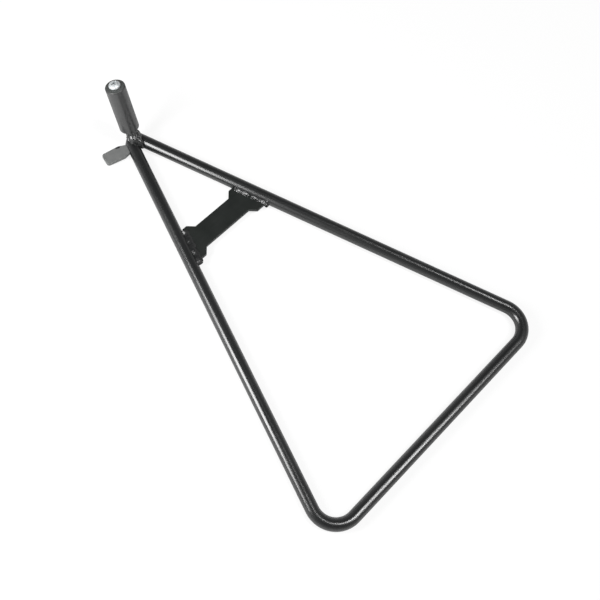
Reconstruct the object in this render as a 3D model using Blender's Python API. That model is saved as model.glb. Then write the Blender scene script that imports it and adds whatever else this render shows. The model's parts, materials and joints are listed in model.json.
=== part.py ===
"""Rear axle bike stand: a triangle of bent round bar with an axle peg at its apex.

The stand lies flat, as it is stored: the bent bar rests on the ground, the peg points up
and leans away from the base, as it must when the triangle leans towards the bike.
Units are metres, +Z is up, +Y runs from the base of the triangle to its apex. The origin
is on the ground, under the middle of the stand's own outline.
"""

import math

import bmesh
import bpy
from mathutils import Matrix, Vector

MM = 0.001

# Clearance between pieces that touch on the real stand
GAP = 0.3 * MM

# Bent bar: the corner points are where its straight centre lines would meet
BAR_DIAMETER = 10.0 * MM
TRIANGLE_HEIGHT = 332.0 * MM
TRIANGLE_BASE = 232.5 * MM
BEND_RADIUS = 18.0 * MM
BAR_SIDES = 32
BEND_STEPS = 14
LEG_STEPS = 10

# Fork at the apex, where the two ends of the bar hold the stub
FORK_WEB = 1.7 * MM
BAR_END_PAST_STUB = 3.5 * MM
BAR_END_CHAMFER_LENGTH = 3.6 * MM
BAR_END_CHAMFER_DEPTH = 2.2 * MM

# Axle stub, the steel pin inside the sleeve
STUB_DIAMETER = 9.0 * MM
PEG_LEAN = math.radians(15.0)
STUB_FLOOR_CLEARANCE = 0.5 * MM
STUB_END_CHAMFER = 0.6 * MM

# Axle sleeve, the bush that goes into the hollow axle
SLEEVE_DIAMETER = 15.3 * MM
SLEEVE_LENGTH = 43.6 * MM
SLEEVE_END_WALL = 4.0 * MM
SLEEVE_FOOT_CHAMFER = 1.1 * MM
SLEEVE_TIP_ROUND = 1.1 * MM
NECK_LENGTH = 9.6 * MM
PEG_SIDES = 64

# End screw: a pan head with a cross recess
SCREW_DIAMETER = 5.0 * MM
SCREW_GRIP = 8.0 * MM
SCREW_TIP_CHAMFER = 0.6 * MM
TAPPED_HOLE_SPARE = 2.0 * MM
HEAD_DIAMETER = 9.2 * MM
HEAD_HEIGHT = 3.2 * MM
HEAD_RIM = 1.1 * MM
RECESS_SPAN = 6.4 * MM
RECESS_WIDTH = 1.6 * MM
RECESS_DEPTH = 2.0 * MM
RECESS_TAPER = 0.55

# Cross plate between the legs
PLATE_THICKNESS = 3.0 * MM
PLATE_CENTRE = 225.9 * MM
PLATE_WAIST_WIDTH = 17.8 * MM
PLATE_END_WIDTH = 27.4 * MM
PLATE_UPPER_SHOULDER = 4.4 * MM
PLATE_LOWER_SHOULDER = 9.1 * MM
PLATE_CORNER_RADIUS = 0.8 * MM

# Stop tab: a flat tongue that stands out of the left leg beside the apex
TAB_THICKNESS = 3.0 * MM
TAB_ROOT_WIDTH = 8.2 * MM
TAB_SHOULDER_WIDTH = 11.4 * MM
TAB_TIP_WIDTH = 10.4 * MM
TAB_SHOULDER_REACH = 5.5 * MM
TAB_REACH = 20.2 * MM
TAB_BELOW_STUB = 3.8 * MM
TAB_TURN = math.radians(12.6)
TAB_TIP_RADIUS = 2.2 * MM
TAB_SHOULDER_RADIUS = 1.5 * MM

# Weld beads
BEAD_SIDES = 12
BEAD_STEP = 0.75 * MM
BEAD_RIPPLE = 0.10
BEAD_PITCH = 2.6 * MM
BEAD_END_TAPER = 0.45
PLATE_BEAD_RADIUS = 2.0 * MM
PLATE_BEAD_OFF_LEG = 1.4 * MM
PLATE_BEAD_OFF_PLATE = 0.6 * MM
PLATE_BEAD_FROM_UPPER_EDGE = 1.2 * MM
PLATE_BEAD_FROM_LOWER_EDGE = 1.9 * MM
TAB_BEAD_RADIUS = 1.6 * MM
TAB_BEAD_OFF_LEG = 0.6 * MM
STUB_BEAD_THICK_RADIUS = 2.3 * MM
STUB_BEAD_THIN_RADIUS = 0.8 * MM
STUB_BEAD_THICK_SIDE = math.radians(-20.0)
STUB_BEAD_STEPS = 56

# Sizes that follow from the ones above
BAR_RADIUS = BAR_DIAMETER / 2
BAR_FLAT = BAR_RADIUS * math.cos(math.pi / BAR_SIDES)
HALF_BASE = TRIANGLE_BASE / 2
HALF_APEX = math.atan2(HALF_BASE, TRIANGLE_HEIGHT)
FOOT_ANGLE = math.pi / 2 - HALF_APEX
STUB_RADIUS = STUB_DIAMETER / 2
CROTCH = TRIANGLE_HEIGHT - BAR_RADIUS / math.sin(HALF_APEX)
STUB_PLACE = CROTCH + FORK_WEB + STUB_RADIUS
SLEEVE_RADIUS = SLEEVE_DIAMETER / 2
SLEEVE_START = BAR_RADIUS + NECK_LENGTH
SLEEVE_END = SLEEVE_START + SLEEVE_LENGTH
STUB_END = SLEEVE_END - SLEEVE_END_WALL - GAP
STUB_START = (STUB_RADIUS * math.sin(PEG_LEAN) - BAR_RADIUS + STUB_FLOOR_CLEARANCE) / math.cos(PEG_LEAN)
SCREW_RADIUS = SCREW_DIAMETER / 2
OUTLINE_TOP = (
    STUB_PLACE
    + (SLEEVE_END - SLEEVE_TIP_ROUND) * math.sin(PEG_LEAN)
    + (SLEEVE_RADIUS - SLEEVE_TIP_ROUND) * math.cos(PEG_LEAN)
    + SLEEVE_TIP_ROUND
)
OUTLINE_BOTTOM = -BAR_FLAT

# Finishes: colour, roughness and metallic value
GLOSS_BLACK = ("gloss_black_coat", (0.016, 0.017, 0.018), 0.22, 0.0)
MATTE_BLACK = ("matte_black_coat", (0.017, 0.018, 0.018), 0.45, 0.0)
DARK_STEEL = ("dark_steel", (0.060, 0.062, 0.062), 0.42, 0.6)
SLEEVE_GREY = ("sleeve_plastic", (0.075, 0.077, 0.076), 0.40, 0.0)
TAB_GREY = ("tab_coat", (0.130, 0.132, 0.130), 0.50, 0.0)
BRIGHT_ZINC = ("bright_zinc", (0.78, 0.80, 0.80), 0.25, 1.0)


def clear_scene():
    """Removes what the scene holds."""
    for obj in list(bpy.data.objects):
        bpy.data.objects.remove(obj, do_unlink=True)


def finish_material(finish):
    """The material of a finish, made on its first use."""
    name, colour, roughness, metallic = finish
    found = bpy.data.materials.get(name)
    if found:
        return found
    made = bpy.data.materials.new(name)
    made.use_nodes = True
    shader = made.node_tree.nodes["Principled BSDF"]
    shader.inputs["Base Color"].default_value = (*colour, 1.0)
    shader.inputs["Roughness"].default_value = roughness
    shader.inputs["Metallic"].default_value = metallic
    made.diffuse_color = (*colour, 1.0)
    return made


def empty(name, parent=None, location=(0, 0, 0), rotation=(0, 0, 0)):
    """An empty that carries other objects."""
    made = bpy.data.objects.new(name, None)
    bpy.context.scene.collection.objects.link(made)
    made.empty_display_size = 20 * MM
    made.parent = parent
    made.location = location
    made.rotation_euler = rotation
    return made


def piece(name, form, finish, parent, sharp_degrees=35.0):
    """An object made of the given bmesh, with its normals out and its round faces smooth."""
    bmesh.ops.recalc_face_normals(form, faces=form.faces)
    mesh = bpy.data.meshes.new(name)
    form.to_mesh(mesh)
    form.free()
    mesh.shade_smooth()
    mesh.set_sharp_from_angle(angle=math.radians(sharp_degrees))
    mesh.materials.append(finish_material(finish))
    made = bpy.data.objects.new(name, mesh)
    bpy.context.scene.collection.objects.link(made)
    made.parent = parent
    return made


def cutter(name, form, parent):
    """A helper that other pieces are cut by, left out of a render."""
    made = piece(name, form, GLOSS_BLACK, parent)
    made.hide_render = True
    made.display_type = "WIRE"
    return made


def cut(target, *tools):
    """Takes each tool's volume from the target."""
    for tool in tools:
        modifier = target.modifiers.new("cut_" + tool.name, "BOOLEAN")
        modifier.operation = "DIFFERENCE"
        modifier.solver = "EXACT"
        modifier.object = tool


def leg_x(y):
    """How far the right leg's centre line is from the middle at this distance from the base."""
    return (TRIANGLE_HEIGHT - y) * math.tan(HALF_APEX)


def leg_inner_x(y, clearance):
    """How far the right leg's inner side, less a clearance, is from the middle."""
    return leg_x(y) - (BAR_RADIUS + clearance) / math.cos(HALF_APEX)


def arc(centre, radius, start, end, steps):
    """Points of an arc in the plane, from one angle to another."""
    turns = [start + (end - start) * step / steps for step in range(steps + 1)]
    return [(centre[0] + radius * math.cos(a), centre[1] + radius * math.sin(a)) for a in turns]


def swept(path, radii, sides, closed=False, caps=(True, True)):
    """A round form carried along a path in the plane, with one radius for each point."""
    form = bmesh.new()
    rings = []
    count = len(path)
    for index, (point, radius) in enumerate(zip(path, radii)):
        before = path[index - 1] if closed or index else point
        after = path[(index + 1) % count] if closed or index + 1 < count else point
        along = Vector((after[0] - before[0], after[1] - before[1], 0)).normalized()
        across = Vector((along.y, -along.x, 0))
        centre = Vector((point[0], point[1], 0))
        ring = []
        for side in range(sides):
            turn = 2 * math.pi * (side + 0.5) / sides
            offset = across * math.cos(turn) + Vector((0, 0, 1)) * math.sin(turn)
            ring.append(form.verts.new(centre + offset * radius))
        rings.append(ring)
    pairs = list(zip(rings, rings[1:]))
    if closed:
        pairs.append((rings[-1], rings[0]))
    for first, second in pairs:
        for side in range(sides):
            after = (side + 1) % sides
            form.faces.new((first[side], first[after], second[after], second[side]))
    if not closed and caps[0]:
        form.faces.new(rings[0])
    if not closed and caps[1]:
        form.faces.new(rings[-1])
    return form


def turned(profile, sides):
    """A form turned about Z from a profile of (radius, height) points that ends on the axis."""
    form = bmesh.new()
    verts = [form.verts.new((radius, 0, height)) for radius, height in profile]
    edges = [form.edges.new(pair) for pair in zip(verts, verts[1:])]
    bmesh.ops.spin(
        form,
        geom=verts + edges,
        cent=(0, 0, 0),
        axis=(0, 0, 1),
        angle=2 * math.pi,
        steps=sides,
        use_merge=True,
    )
    bmesh.ops.remove_doubles(form, verts=form.verts, dist=0.001 * MM)
    return form


def extruded(outline, low, high, corner_radius=0.0, corner_steps=2):
    """A flat form: an outline in the plane between two heights, with rounded corners."""
    form = bmesh.new()
    floor = form.faces.new([form.verts.new((x, y, low)) for x, y in outline])
    raised = bmesh.ops.extrude_face_region(form, geom=[floor])
    moved = [item for item in raised["geom"] if isinstance(item, bmesh.types.BMVert)]
    bmesh.ops.translate(form, verts=moved, vec=(0, 0, high - low))
    if corner_radius:
        upright = [e for e in form.edges if abs(e.verts[0].co.z - e.verts[1].co.z) > (high - low) / 2]
        bmesh.ops.bevel(form, geom=upright, offset=corner_radius, segments=corner_steps, profile=0.5, affect="EDGES")
    return form


def block(low, high):
    """A box between two corners."""
    outline = ((low[0], low[1]), (high[0], low[1]), (high[0], high[1]), (low[0], high[1]))
    return extruded(outline, low[2], high[2])


def half_bar_path():
    """The right half of the bar's centre line: half the base, the bend and the leg."""
    tangent = BEND_RADIUS / math.tan(FOOT_ANGLE / 2)
    centre = (HALF_BASE - tangent, BEND_RADIUS)
    path = [(0.0, 0.0), (centre[0] / 2, 0.0)]
    path += arc(centre, BEND_RADIUS, -math.pi / 2, math.pi / 2 - FOOT_ANGLE, BEND_STEPS)
    start = path[-1][1]
    end = CROTCH - FORK_WEB
    path += [(leg_x(y), y) for y in (start + (end - start) * n / LEG_STEPS for n in range(1, LEG_STEPS + 1))]
    top = STUB_PLACE + BAR_END_PAST_STUB
    for y in (top - BAR_END_CHAMFER_LENGTH, top):
        path.append((leg_x(y), y))
    return path


def make_frame_bar(parent, stub_cutter):
    """The bent bar, with its two ends mitred to each other and coped round the stub."""
    path = half_bar_path()
    radii = [BAR_RADIUS] * (len(path) - 1) + [BAR_RADIUS - BAR_END_CHAMFER_DEPTH]
    form = swept(path, radii, BAR_SIDES, caps=(False, True))
    fork = CROTCH - 2 * FORK_WEB - BAR_RADIUS
    faces = [face for face in form.faces if all(vert.co.y > fork for vert in face.verts)]
    edges = list({edge for face in faces for edge in face.edges})
    verts = list({vert for face in faces for vert in face.verts})
    mitre = bmesh.ops.bisect_plane(
        form,
        geom=verts + edges + faces,
        plane_co=(GAP / 2, 0, 0),
        plane_no=(-1, 0, 0),
        clear_outer=True,
    )
    rim = [item for item in mitre["geom_cut"] if isinstance(item, bmesh.types.BMEdge)]
    bmesh.ops.edgeloop_fill(form, edges=rim)
    bar = piece("frame_bar", form, GLOSS_BLACK, parent)
    mirror = bar.modifiers.new("other_half", "MIRROR")
    mirror.merge_threshold = 0.01 * MM
    cut(bar, stub_cutter)
    return bar


def make_leg_cutter(parent, side):
    """A leg's own volume, less sharp by the clearance, which shapes what is welded to it."""
    low = (side * leg_x(0), 0.0)
    high = (side * leg_x(TRIANGLE_HEIGHT * 1.1), TRIANGLE_HEIGHT * 1.1)
    radius = BAR_RADIUS + GAP
    name = "left_leg_cutter" if side < 0 else "right_leg_cutter"
    return cutter(name, swept((low, high), (radius, radius), BAR_SIDES), parent)


def make_stub_cutter(peg_axis):
    """The stub's own volume and its clearance, which the ends of the bar are coped to."""
    radius = STUB_RADIUS + GAP
    reach = 4 * BAR_DIAMETER
    profile = ((0, -reach), (radius, -reach), (radius, reach), (0, reach))
    return cutter("stub_cutter", turned(profile, PEG_SIDES), peg_axis)


def make_axle_stub(peg_axis):
    """The steel pin that is welded into the fork, with a tapped hole in its outer end."""
    hole = SCREW_RADIUS + GAP
    hole_floor = STUB_END - SCREW_GRIP - TAPPED_HOLE_SPARE
    profile = (
        (0, STUB_START),
        (STUB_RADIUS, STUB_START),
        (STUB_RADIUS, STUB_END - STUB_END_CHAMFER),
        (STUB_RADIUS - STUB_END_CHAMFER, STUB_END),
        (hole, STUB_END),
        (hole, hole_floor),
        (0, hole_floor),
    )
    return piece("axle_stub", turned(profile, PEG_SIDES), DARK_STEEL, peg_axis)


def make_axle_sleeve(peg_axis):
    """The bush that turns on the stub: open at its foot, closed by a wall at its tip."""
    bore = STUB_RADIUS + GAP
    hole = SCREW_RADIUS + GAP
    length = SLEEVE_LENGTH
    tip_centre = (SLEEVE_RADIUS - SLEEVE_TIP_ROUND, length - SLEEVE_TIP_ROUND)
    profile = [
        (hole, length - SLEEVE_END_WALL),
        (bore, length - SLEEVE_END_WALL),
        (bore, 0),
        (SLEEVE_RADIUS - SLEEVE_FOOT_CHAMFER, 0),
        (SLEEVE_RADIUS, SLEEVE_FOOT_CHAMFER),
    ]
    profile += arc(tip_centre, SLEEVE_TIP_ROUND, 0, math.pi / 2, 4)
    profile += [(hole, length), (hole, length - SLEEVE_END_WALL)]
    sleeve = piece("axle_sleeve", turned(profile, PEG_SIDES), SLEEVE_GREY, peg_axis)
    sleeve.location.z = SLEEVE_START
    return sleeve


def make_recess_blade(name, peg_axis, turn):
    """One tapered blade of the driver that pressed the screw's cross recess."""
    top = HEAD_HEIGHT + RECESS_DEPTH
    floor = HEAD_HEIGHT - RECESS_DEPTH
    form = block((-RECESS_SPAN / 2, -RECESS_WIDTH / 2, floor), (RECESS_SPAN / 2, RECESS_WIDTH / 2, top))
    for vert in form.verts:
        if vert.co.z < HEAD_HEIGHT:
            vert.co.x *= RECESS_TAPER
            vert.co.y *= RECESS_TAPER
    bmesh.ops.rotate(form, verts=form.verts, matrix=Matrix.Rotation(turn, 3, "Z"))
    blade = cutter(name, form, peg_axis)
    blade.location.z = SLEEVE_END + GAP
    return blade


def make_end_screw(peg_axis):
    """The pan head screw that keeps the sleeve on the stub."""
    radius = HEAD_DIAMETER / 2
    rise = HEAD_HEIGHT - HEAD_RIM
    crown = (radius * radius + rise * rise) / (2 * rise)
    reach = math.asin(radius / crown)
    tip = -(SLEEVE_END_WALL + 2 * GAP + SCREW_GRIP)
    profile = [
        (0, tip),
        (SCREW_RADIUS - SCREW_TIP_CHAMFER, tip),
        (SCREW_RADIUS, tip + SCREW_TIP_CHAMFER),
        (SCREW_RADIUS, 0),
        (radius, 0),
    ]
    for step in range(7):
        turn = reach * (1 - step / 6)
        profile.append((crown * math.sin(turn), HEAD_HEIGHT - crown * (1 - math.cos(turn))))
    screw = piece("end_screw", turned(profile, PEG_SIDES), BRIGHT_ZINC, peg_axis)
    screw.location.z = SLEEVE_END + GAP
    blades = [make_recess_blade(f"recess_blade_{n}", peg_axis, n * math.pi / 2) for n in (0, 1)]
    cut(screw, *blades)
    return screw


def make_cross_plate(parent):
    """The flat plate that ties the legs, narrow at its waist and wide where it is welded."""
    waist = PLATE_WAIST_WIDTH / 2
    end = PLATE_END_WIDTH / 2
    flare = end - waist
    lower_reach = leg_inner_x(PLATE_CENTRE - end, GAP)
    upper_reach = leg_inner_x(PLATE_CENTRE + end, GAP)
    lower = lower_reach - PLATE_LOWER_SHOULDER
    upper = upper_reach - PLATE_UPPER_SHOULDER
    right = [
        (lower - flare, PLATE_CENTRE - waist),
        (lower, PLATE_CENTRE - end),
        (lower_reach, PLATE_CENTRE - end),
        (upper_reach, PLATE_CENTRE + end),
        (upper, PLATE_CENTRE + end),
        (upper - flare, PLATE_CENTRE + waist),
    ]
    outline = right + [(-x, y) for x, y in reversed(right)]
    half = PLATE_THICKNESS / 2
    form = extruded(outline, -half, half, PLATE_CORNER_RADIUS)
    return piece("cross_plate", form, MATTE_BLACK, parent)


def tab_root():
    """Where the tab's middle line starts, on the left leg's centre line."""
    y = STUB_PLACE - TAB_BELOW_STUB
    return (-leg_x(y), y)


def make_stop_tab(parent, left_leg_cutter):
    """The flat tongue, wider past its shoulders, with its root coped to the leg's side."""
    root = TAB_ROOT_WIDTH / 2
    shoulder = TAB_SHOULDER_WIDTH / 2
    tip = TAB_TIP_WIDTH / 2
    lower = [
        (BAR_RADIUS / 2, -root),
        (BAR_RADIUS + GAP, -root),
        (BAR_RADIUS + TAB_SHOULDER_REACH, -shoulder),
        (BAR_RADIUS + TAB_REACH, -tip),
    ]
    outline = lower + [(x, -y) for x, y in reversed(lower)]
    form = extruded(outline, -TAB_THICKNESS / 2, TAB_THICKNESS / 2)
    corners = ((BAR_RADIUS + TAB_SHOULDER_REACH, TAB_SHOULDER_RADIUS), (BAR_RADIUS + TAB_REACH, TAB_TIP_RADIUS))
    for corner_x, radius in corners:
        edges = [e for e in form.edges if all(abs(vert.co.x - corner_x) < MM / 1000 for vert in e.verts)]
        upright = [e for e in edges if abs(e.verts[0].co.z - e.verts[1].co.z) > TAB_THICKNESS / 2]
        bmesh.ops.bevel(form, geom=upright, offset=radius, segments=5, profile=0.5, affect="EDGES")
    tab = piece("stop_tab", form, TAB_GREY, parent)
    tab.location = (*tab_root(), 0)
    tab.rotation_euler = (0, 0, math.pi - TAB_TURN)
    cut(tab, left_leg_cutter)
    return tab


def bead_radii(lengths, radius):
    """Radii along a weld bead: even ripples and smaller, rounded ends."""
    radii = []
    for length in lengths:
        ripple = 0.5 - 0.5 * math.cos(2 * math.pi * length / BEAD_PITCH)
        rounded = min(1.0, min(length, lengths[-1] - length) / radius)
        end = BEAD_END_TAPER + (1 - BEAD_END_TAPER) * math.sqrt(rounded)
        radii.append(radius * (1 - BEAD_RIPPLE * ripple) * end)
    return radii


def straight_bead(start, end, radius):
    """A bead between two points in the plane."""
    run = math.dist(start, end)
    steps = max(4, round(run / BEAD_STEP))
    shares = [step / steps for step in range(steps + 1)]
    path = [(start[0] + (end[0] - start[0]) * s, start[1] + (end[1] - start[1]) * s) for s in shares]
    return swept(path, bead_radii([run * s for s in shares], radius), BEAD_SIDES)


def make_slab_cutter(name, parent, thickness):
    """A flat cutter across the whole stand that holds a welded plate and its clearance."""
    half = thickness / 2 + GAP
    wide = TRIANGLE_BASE
    return cutter(name, block((-wide, 0, -half), (wide, TRIANGLE_HEIGHT, half)), parent)


def make_plate_welds(parent, leg_cutters):
    """Four beads, above and below the plate at each leg."""
    slab = make_slab_cutter("plate_cutter", parent, PLATE_THICKNESS)
    low = PLATE_CENTRE - PLATE_END_WIDTH / 2 + PLATE_BEAD_FROM_LOWER_EDGE
    high = PLATE_CENTRE + PLATE_END_WIDTH / 2 - PLATE_BEAD_FROM_UPPER_EDGE
    lift = PLATE_THICKNESS / 2 + PLATE_BEAD_OFF_PLATE
    for side, side_name in ((-1, "left"), (1, "right")):
        start = (side * leg_inner_x(low, PLATE_BEAD_OFF_LEG), low)
        end = (side * leg_inner_x(high, PLATE_BEAD_OFF_LEG), high)
        for face, face_name in ((1, "upper"), (-1, "under")):
            form = straight_bead(start, end, PLATE_BEAD_RADIUS)
            bead = piece(f"plate_weld_{side_name}_{face_name}", form, GLOSS_BLACK, parent, 60.0)
            bead.location.z = face * lift
            cut(bead, leg_cutters[side], slab)


def make_tab_weld(parent, left_leg_cutter):
    """The bead that holds the tab, on the ground side of the leg."""
    slab = make_slab_cutter("tab_cutter", parent, TAB_THICKNESS)
    half = TAB_ROOT_WIDTH / 2
    form = straight_bead((0, -half), (0, half), TAB_BEAD_RADIUS)
    away = BAR_RADIUS + TAB_BEAD_OFF_LEG
    bmesh.ops.translate(form, verts=form.verts, vec=(-away, away * math.tan(HALF_APEX - TAB_TURN), 0))
    bmesh.ops.rotate(form, verts=form.verts, matrix=Matrix.Rotation(-HALF_APEX, 3, "Z"))
    bead = piece("tab_weld", form, GLOSS_BLACK, parent, 60.0)
    bead.location = (*tab_root(), -(TAB_THICKNESS / 2 + TAB_BEAD_OFF_LEG))
    cut(bead, left_leg_cutter, slab)
    return bead


def make_stub_weld(peg_axis, stub_cutter, leg_cutters):
    """The bead round the stub, on top of the fork."""
    middle = (STUB_BEAD_THICK_RADIUS + STUB_BEAD_THIN_RADIUS) / 2
    swing = (STUB_BEAD_THICK_RADIUS - STUB_BEAD_THIN_RADIUS) / 2
    ripples = round(2 * math.pi * (STUB_RADIUS + middle) / BEAD_PITCH)
    path = []
    radii = []
    for step in range(STUB_BEAD_STEPS):
        turn = 2 * math.pi * step / STUB_BEAD_STEPS
        full = middle + swing * math.cos(turn - STUB_BEAD_THICK_SIDE)
        ripple = 0.5 - 0.5 * math.cos(ripples * turn)
        ring = STUB_RADIUS + full * 0.35
        path.append((ring * math.cos(turn), ring * math.sin(turn)))
        radii.append(full * (1 - BEAD_RIPPLE * ripple))
    form = swept(path, radii, BEAD_SIDES, closed=True)
    bead = piece("stub_weld", form, GLOSS_BLACK, peg_axis, 60.0)
    bead.location.z = BAR_RADIUS
    cut(bead, stub_cutter, *leg_cutters.values())
    return bead


def build():
    """Builds the stand."""
    clear_scene()
    middle = (OUTLINE_TOP + OUTLINE_BOTTOM) / 2
    plane = empty("frame_plane", location=(0, -middle, BAR_FLAT))
    peg_axis = empty("peg_axis", plane, (0, STUB_PLACE, 0), (-PEG_LEAN, 0, 0))
    stub_cutter = make_stub_cutter(peg_axis)
    leg_cutters = {side: make_leg_cutter(plane, side) for side in (-1, 1)}
    make_frame_bar(plane, stub_cutter)
    make_cross_plate(plane)
    make_axle_stub(peg_axis)
    make_axle_sleeve(peg_axis)
    make_end_screw(peg_axis)
    make_stop_tab(plane, leg_cutters[-1])
    make_plate_welds(plane, leg_cutters)
    make_tab_weld(plane, leg_cutters[-1])
    make_stub_weld(peg_axis, stub_cutter, leg_cutters)
    bpy.context.view_layer.update()


build()
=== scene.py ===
"""Looks of the rear axle bike stand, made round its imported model.

The stand lies on a pale floor: a triangle of round bar in gloss black coat, a satin black plate
welded across its legs, a leaning peg with a dark grey sleeve at its apex, and a flat grey tab
beside the peg. Lengths are in metres, +Z is up and the floor is at height zero. Most shapes are
worked out in the plane of the bar: x to the right, y from the base to the apex, z up from the
bar's centre lines.
"""

import json
import logging
import math
from dataclasses import dataclass
from enum import Enum

import bpy
import numpy as np
from mathutils import Matrix, Vector


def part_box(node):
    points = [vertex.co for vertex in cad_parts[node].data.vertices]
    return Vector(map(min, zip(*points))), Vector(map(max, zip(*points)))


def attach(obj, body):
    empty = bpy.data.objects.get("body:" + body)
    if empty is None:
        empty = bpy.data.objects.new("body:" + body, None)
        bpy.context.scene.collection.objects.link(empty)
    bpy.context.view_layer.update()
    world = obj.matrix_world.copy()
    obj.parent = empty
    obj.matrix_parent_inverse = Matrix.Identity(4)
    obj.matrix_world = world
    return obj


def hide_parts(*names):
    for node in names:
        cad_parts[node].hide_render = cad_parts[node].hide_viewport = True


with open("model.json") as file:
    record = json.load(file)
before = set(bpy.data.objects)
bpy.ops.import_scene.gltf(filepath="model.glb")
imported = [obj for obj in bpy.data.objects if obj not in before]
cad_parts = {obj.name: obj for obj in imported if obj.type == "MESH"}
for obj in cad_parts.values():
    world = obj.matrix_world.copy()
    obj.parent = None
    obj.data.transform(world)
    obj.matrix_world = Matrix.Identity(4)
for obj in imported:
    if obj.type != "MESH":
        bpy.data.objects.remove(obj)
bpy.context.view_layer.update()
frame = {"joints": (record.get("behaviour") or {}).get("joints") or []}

LOG = logging.getLogger("bike_stand")

MM = 0.001
FULL_TURN = 2 * math.pi

Array = np.ndarray
Point = tuple[float, float, float]
Colour = tuple[float, float, float]
Span = tuple[float, float]
Socket = bpy.types.NodeSocket
Fed = Socket | float | str | tuple[float, ...]
Inputs = dict[str | int, Fed]

# Most of a noise's values lie between these.
MOST_OF_NOISE: Span = (0.3, 0.7)
# A Mix node's colours share their names with its numbers, so they go by their places among its
# inputs, and the mixed colour by its place among the outputs.
MIX_COLOURS = (6, 7)
MIXED_COLOUR = 2


class Body(Enum):
    """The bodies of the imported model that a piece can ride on."""

    STAND = "stand"
    SLEEVE = "sleeve"


class Ends(Enum):
    """How a row of loops closes at its first and last loop."""

    CAPPED = "capped"
    JOINED = "joined"


class Side(Enum):
    """A leg of the triangle, by the sign of its x."""

    LEFT = -1
    RIGHT = 1


class Face(Enum):
    """A face of the cross plate, by the sign of its height."""

    UPPER = 1
    UNDER = -1


# Curves and surfaces as whole arrays


def ramp(values: Array, start: float, end: float) -> Array:
    """Rises smoothly from 0 at start to 1 at end, by t squared times (3 - 2 t).

    Args:
        values: where it is wanted.
        start: the value at which the rise begins.
        end: the value at which it ends.

    Returns:
        The rise at each value.
    """
    share = np.clip((values - start) / (end - start), 0.0, 1.0)
    return share * share * (3 - 2 * share)


def bell(values: Array, centre: float, width: float) -> Array:
    """A bell curve: the exponential of less the squared distance from its centre, in widths.

    Args:
        values: where it is wanted.
        centre: the value at which it is 1.
        width: how far from the centre it has fallen to 0.37.

    Returns:
        The curve's height at each value.
    """
    return np.exp(-(((values - centre) / width) ** 2))


def soft_min(first: Array, second: Array, blend: float) -> Array:
    """The lower of two heights, with the corner where they cross rounded.

    Where they differ by less than the blend, it dips below both by a parabola.

    Args:
        first: the one height.
        second: the other height.
        blend: how far apart they may be and still be rounded.

    Returns:
        The rounded minimum.
    """
    near = np.clip(1 - np.abs(first - second) / blend, 0.0, 1.0)
    return np.minimum(first, second) - near * near * blend / 4


def rounded_end(distance: Array, radius: float, least: float = 0.03) -> Array:
    """How wide a weld still is near its end, by a quarter circle.

    It is the root of one less the square of one less the distance in radii.

    Args:
        distance: how far from the end.
        radius: how far from the end the weld has its full width.
        least: the share at the very end, where it is capped.

    Returns:
        The share of the full width.
    """
    near = np.clip(distance / radius, 0.0, 1.0)
    return np.maximum(np.sqrt(1 - (1 - near) ** 2), least)


def within_half_turn(turn: Array) -> Array:
    """The same angles, counted from minus half a turn to half a turn."""
    return (turn + math.pi) % FULL_TURN - math.pi


def arc_points(centre: tuple[float, float], radius: float, start: float, end: float, count: int) -> Array:
    """Points of an arc: the centre plus the radius times the cosine and sine of an even turn.

    Args:
        centre: its centre.
        radius: its radius.
        start: the angle of its first point.
        end: the angle of its last point.
        count: how many points.

    Returns:
        An array of count points.
    """
    turn = np.linspace(start, end, count)
    return np.stack([centre[0] + radius * np.cos(turn), centre[1] + radius * np.sin(turn)], axis=-1)


def line_points(x: float, low: float, high: float, count: int) -> Array:
    """Evenly spaced points from low to high, all at the same x."""
    return np.stack([np.full(count, x), np.linspace(low, high, count)], axis=-1)


def round_corners(corners: list[tuple[float, float, float]], count: int = 7) -> Array:
    """A closed outline with its corners rounded.

    Each corner is replaced by an arc that touches both of its sides. The arc's centre is on the
    line that halves the corner, and a radius of nearly zero keeps the corner sharp.

    Args:
        corners: the corners in order, each as x, y and radius.
        count: how many points each arc has.

    Returns:
        The outline's points, without the first one again at the end.
    """
    given = np.array(corners, float)
    place, radius = given[:, :2], given[:, 2:]
    before = np.roll(place, 1, axis=0) - place
    after = np.roll(place, -1, axis=0) - place
    before /= np.linalg.norm(before, axis=1, keepdims=True)
    after /= np.linalg.norm(after, axis=1, keepdims=True)
    half = np.arccos(np.clip(np.sum(before * after, axis=1, keepdims=True), -1, 1)) / 2
    middle = before + after
    middle /= np.linalg.norm(middle, axis=1, keepdims=True)
    centre = place + middle * radius / np.sin(half)
    start = place + before * radius / np.tan(half) - centre
    end = place + after * radius / np.tan(half) - centre
    share = np.linspace(0.0, 1.0, count)[None, :, None]
    chord = start[:, None] * (1 - share) + end[:, None] * share
    chord *= radius[:, None] / np.linalg.norm(chord, axis=2, keepdims=True)
    return (centre[:, None] + chord).reshape(-1, 2)


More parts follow.
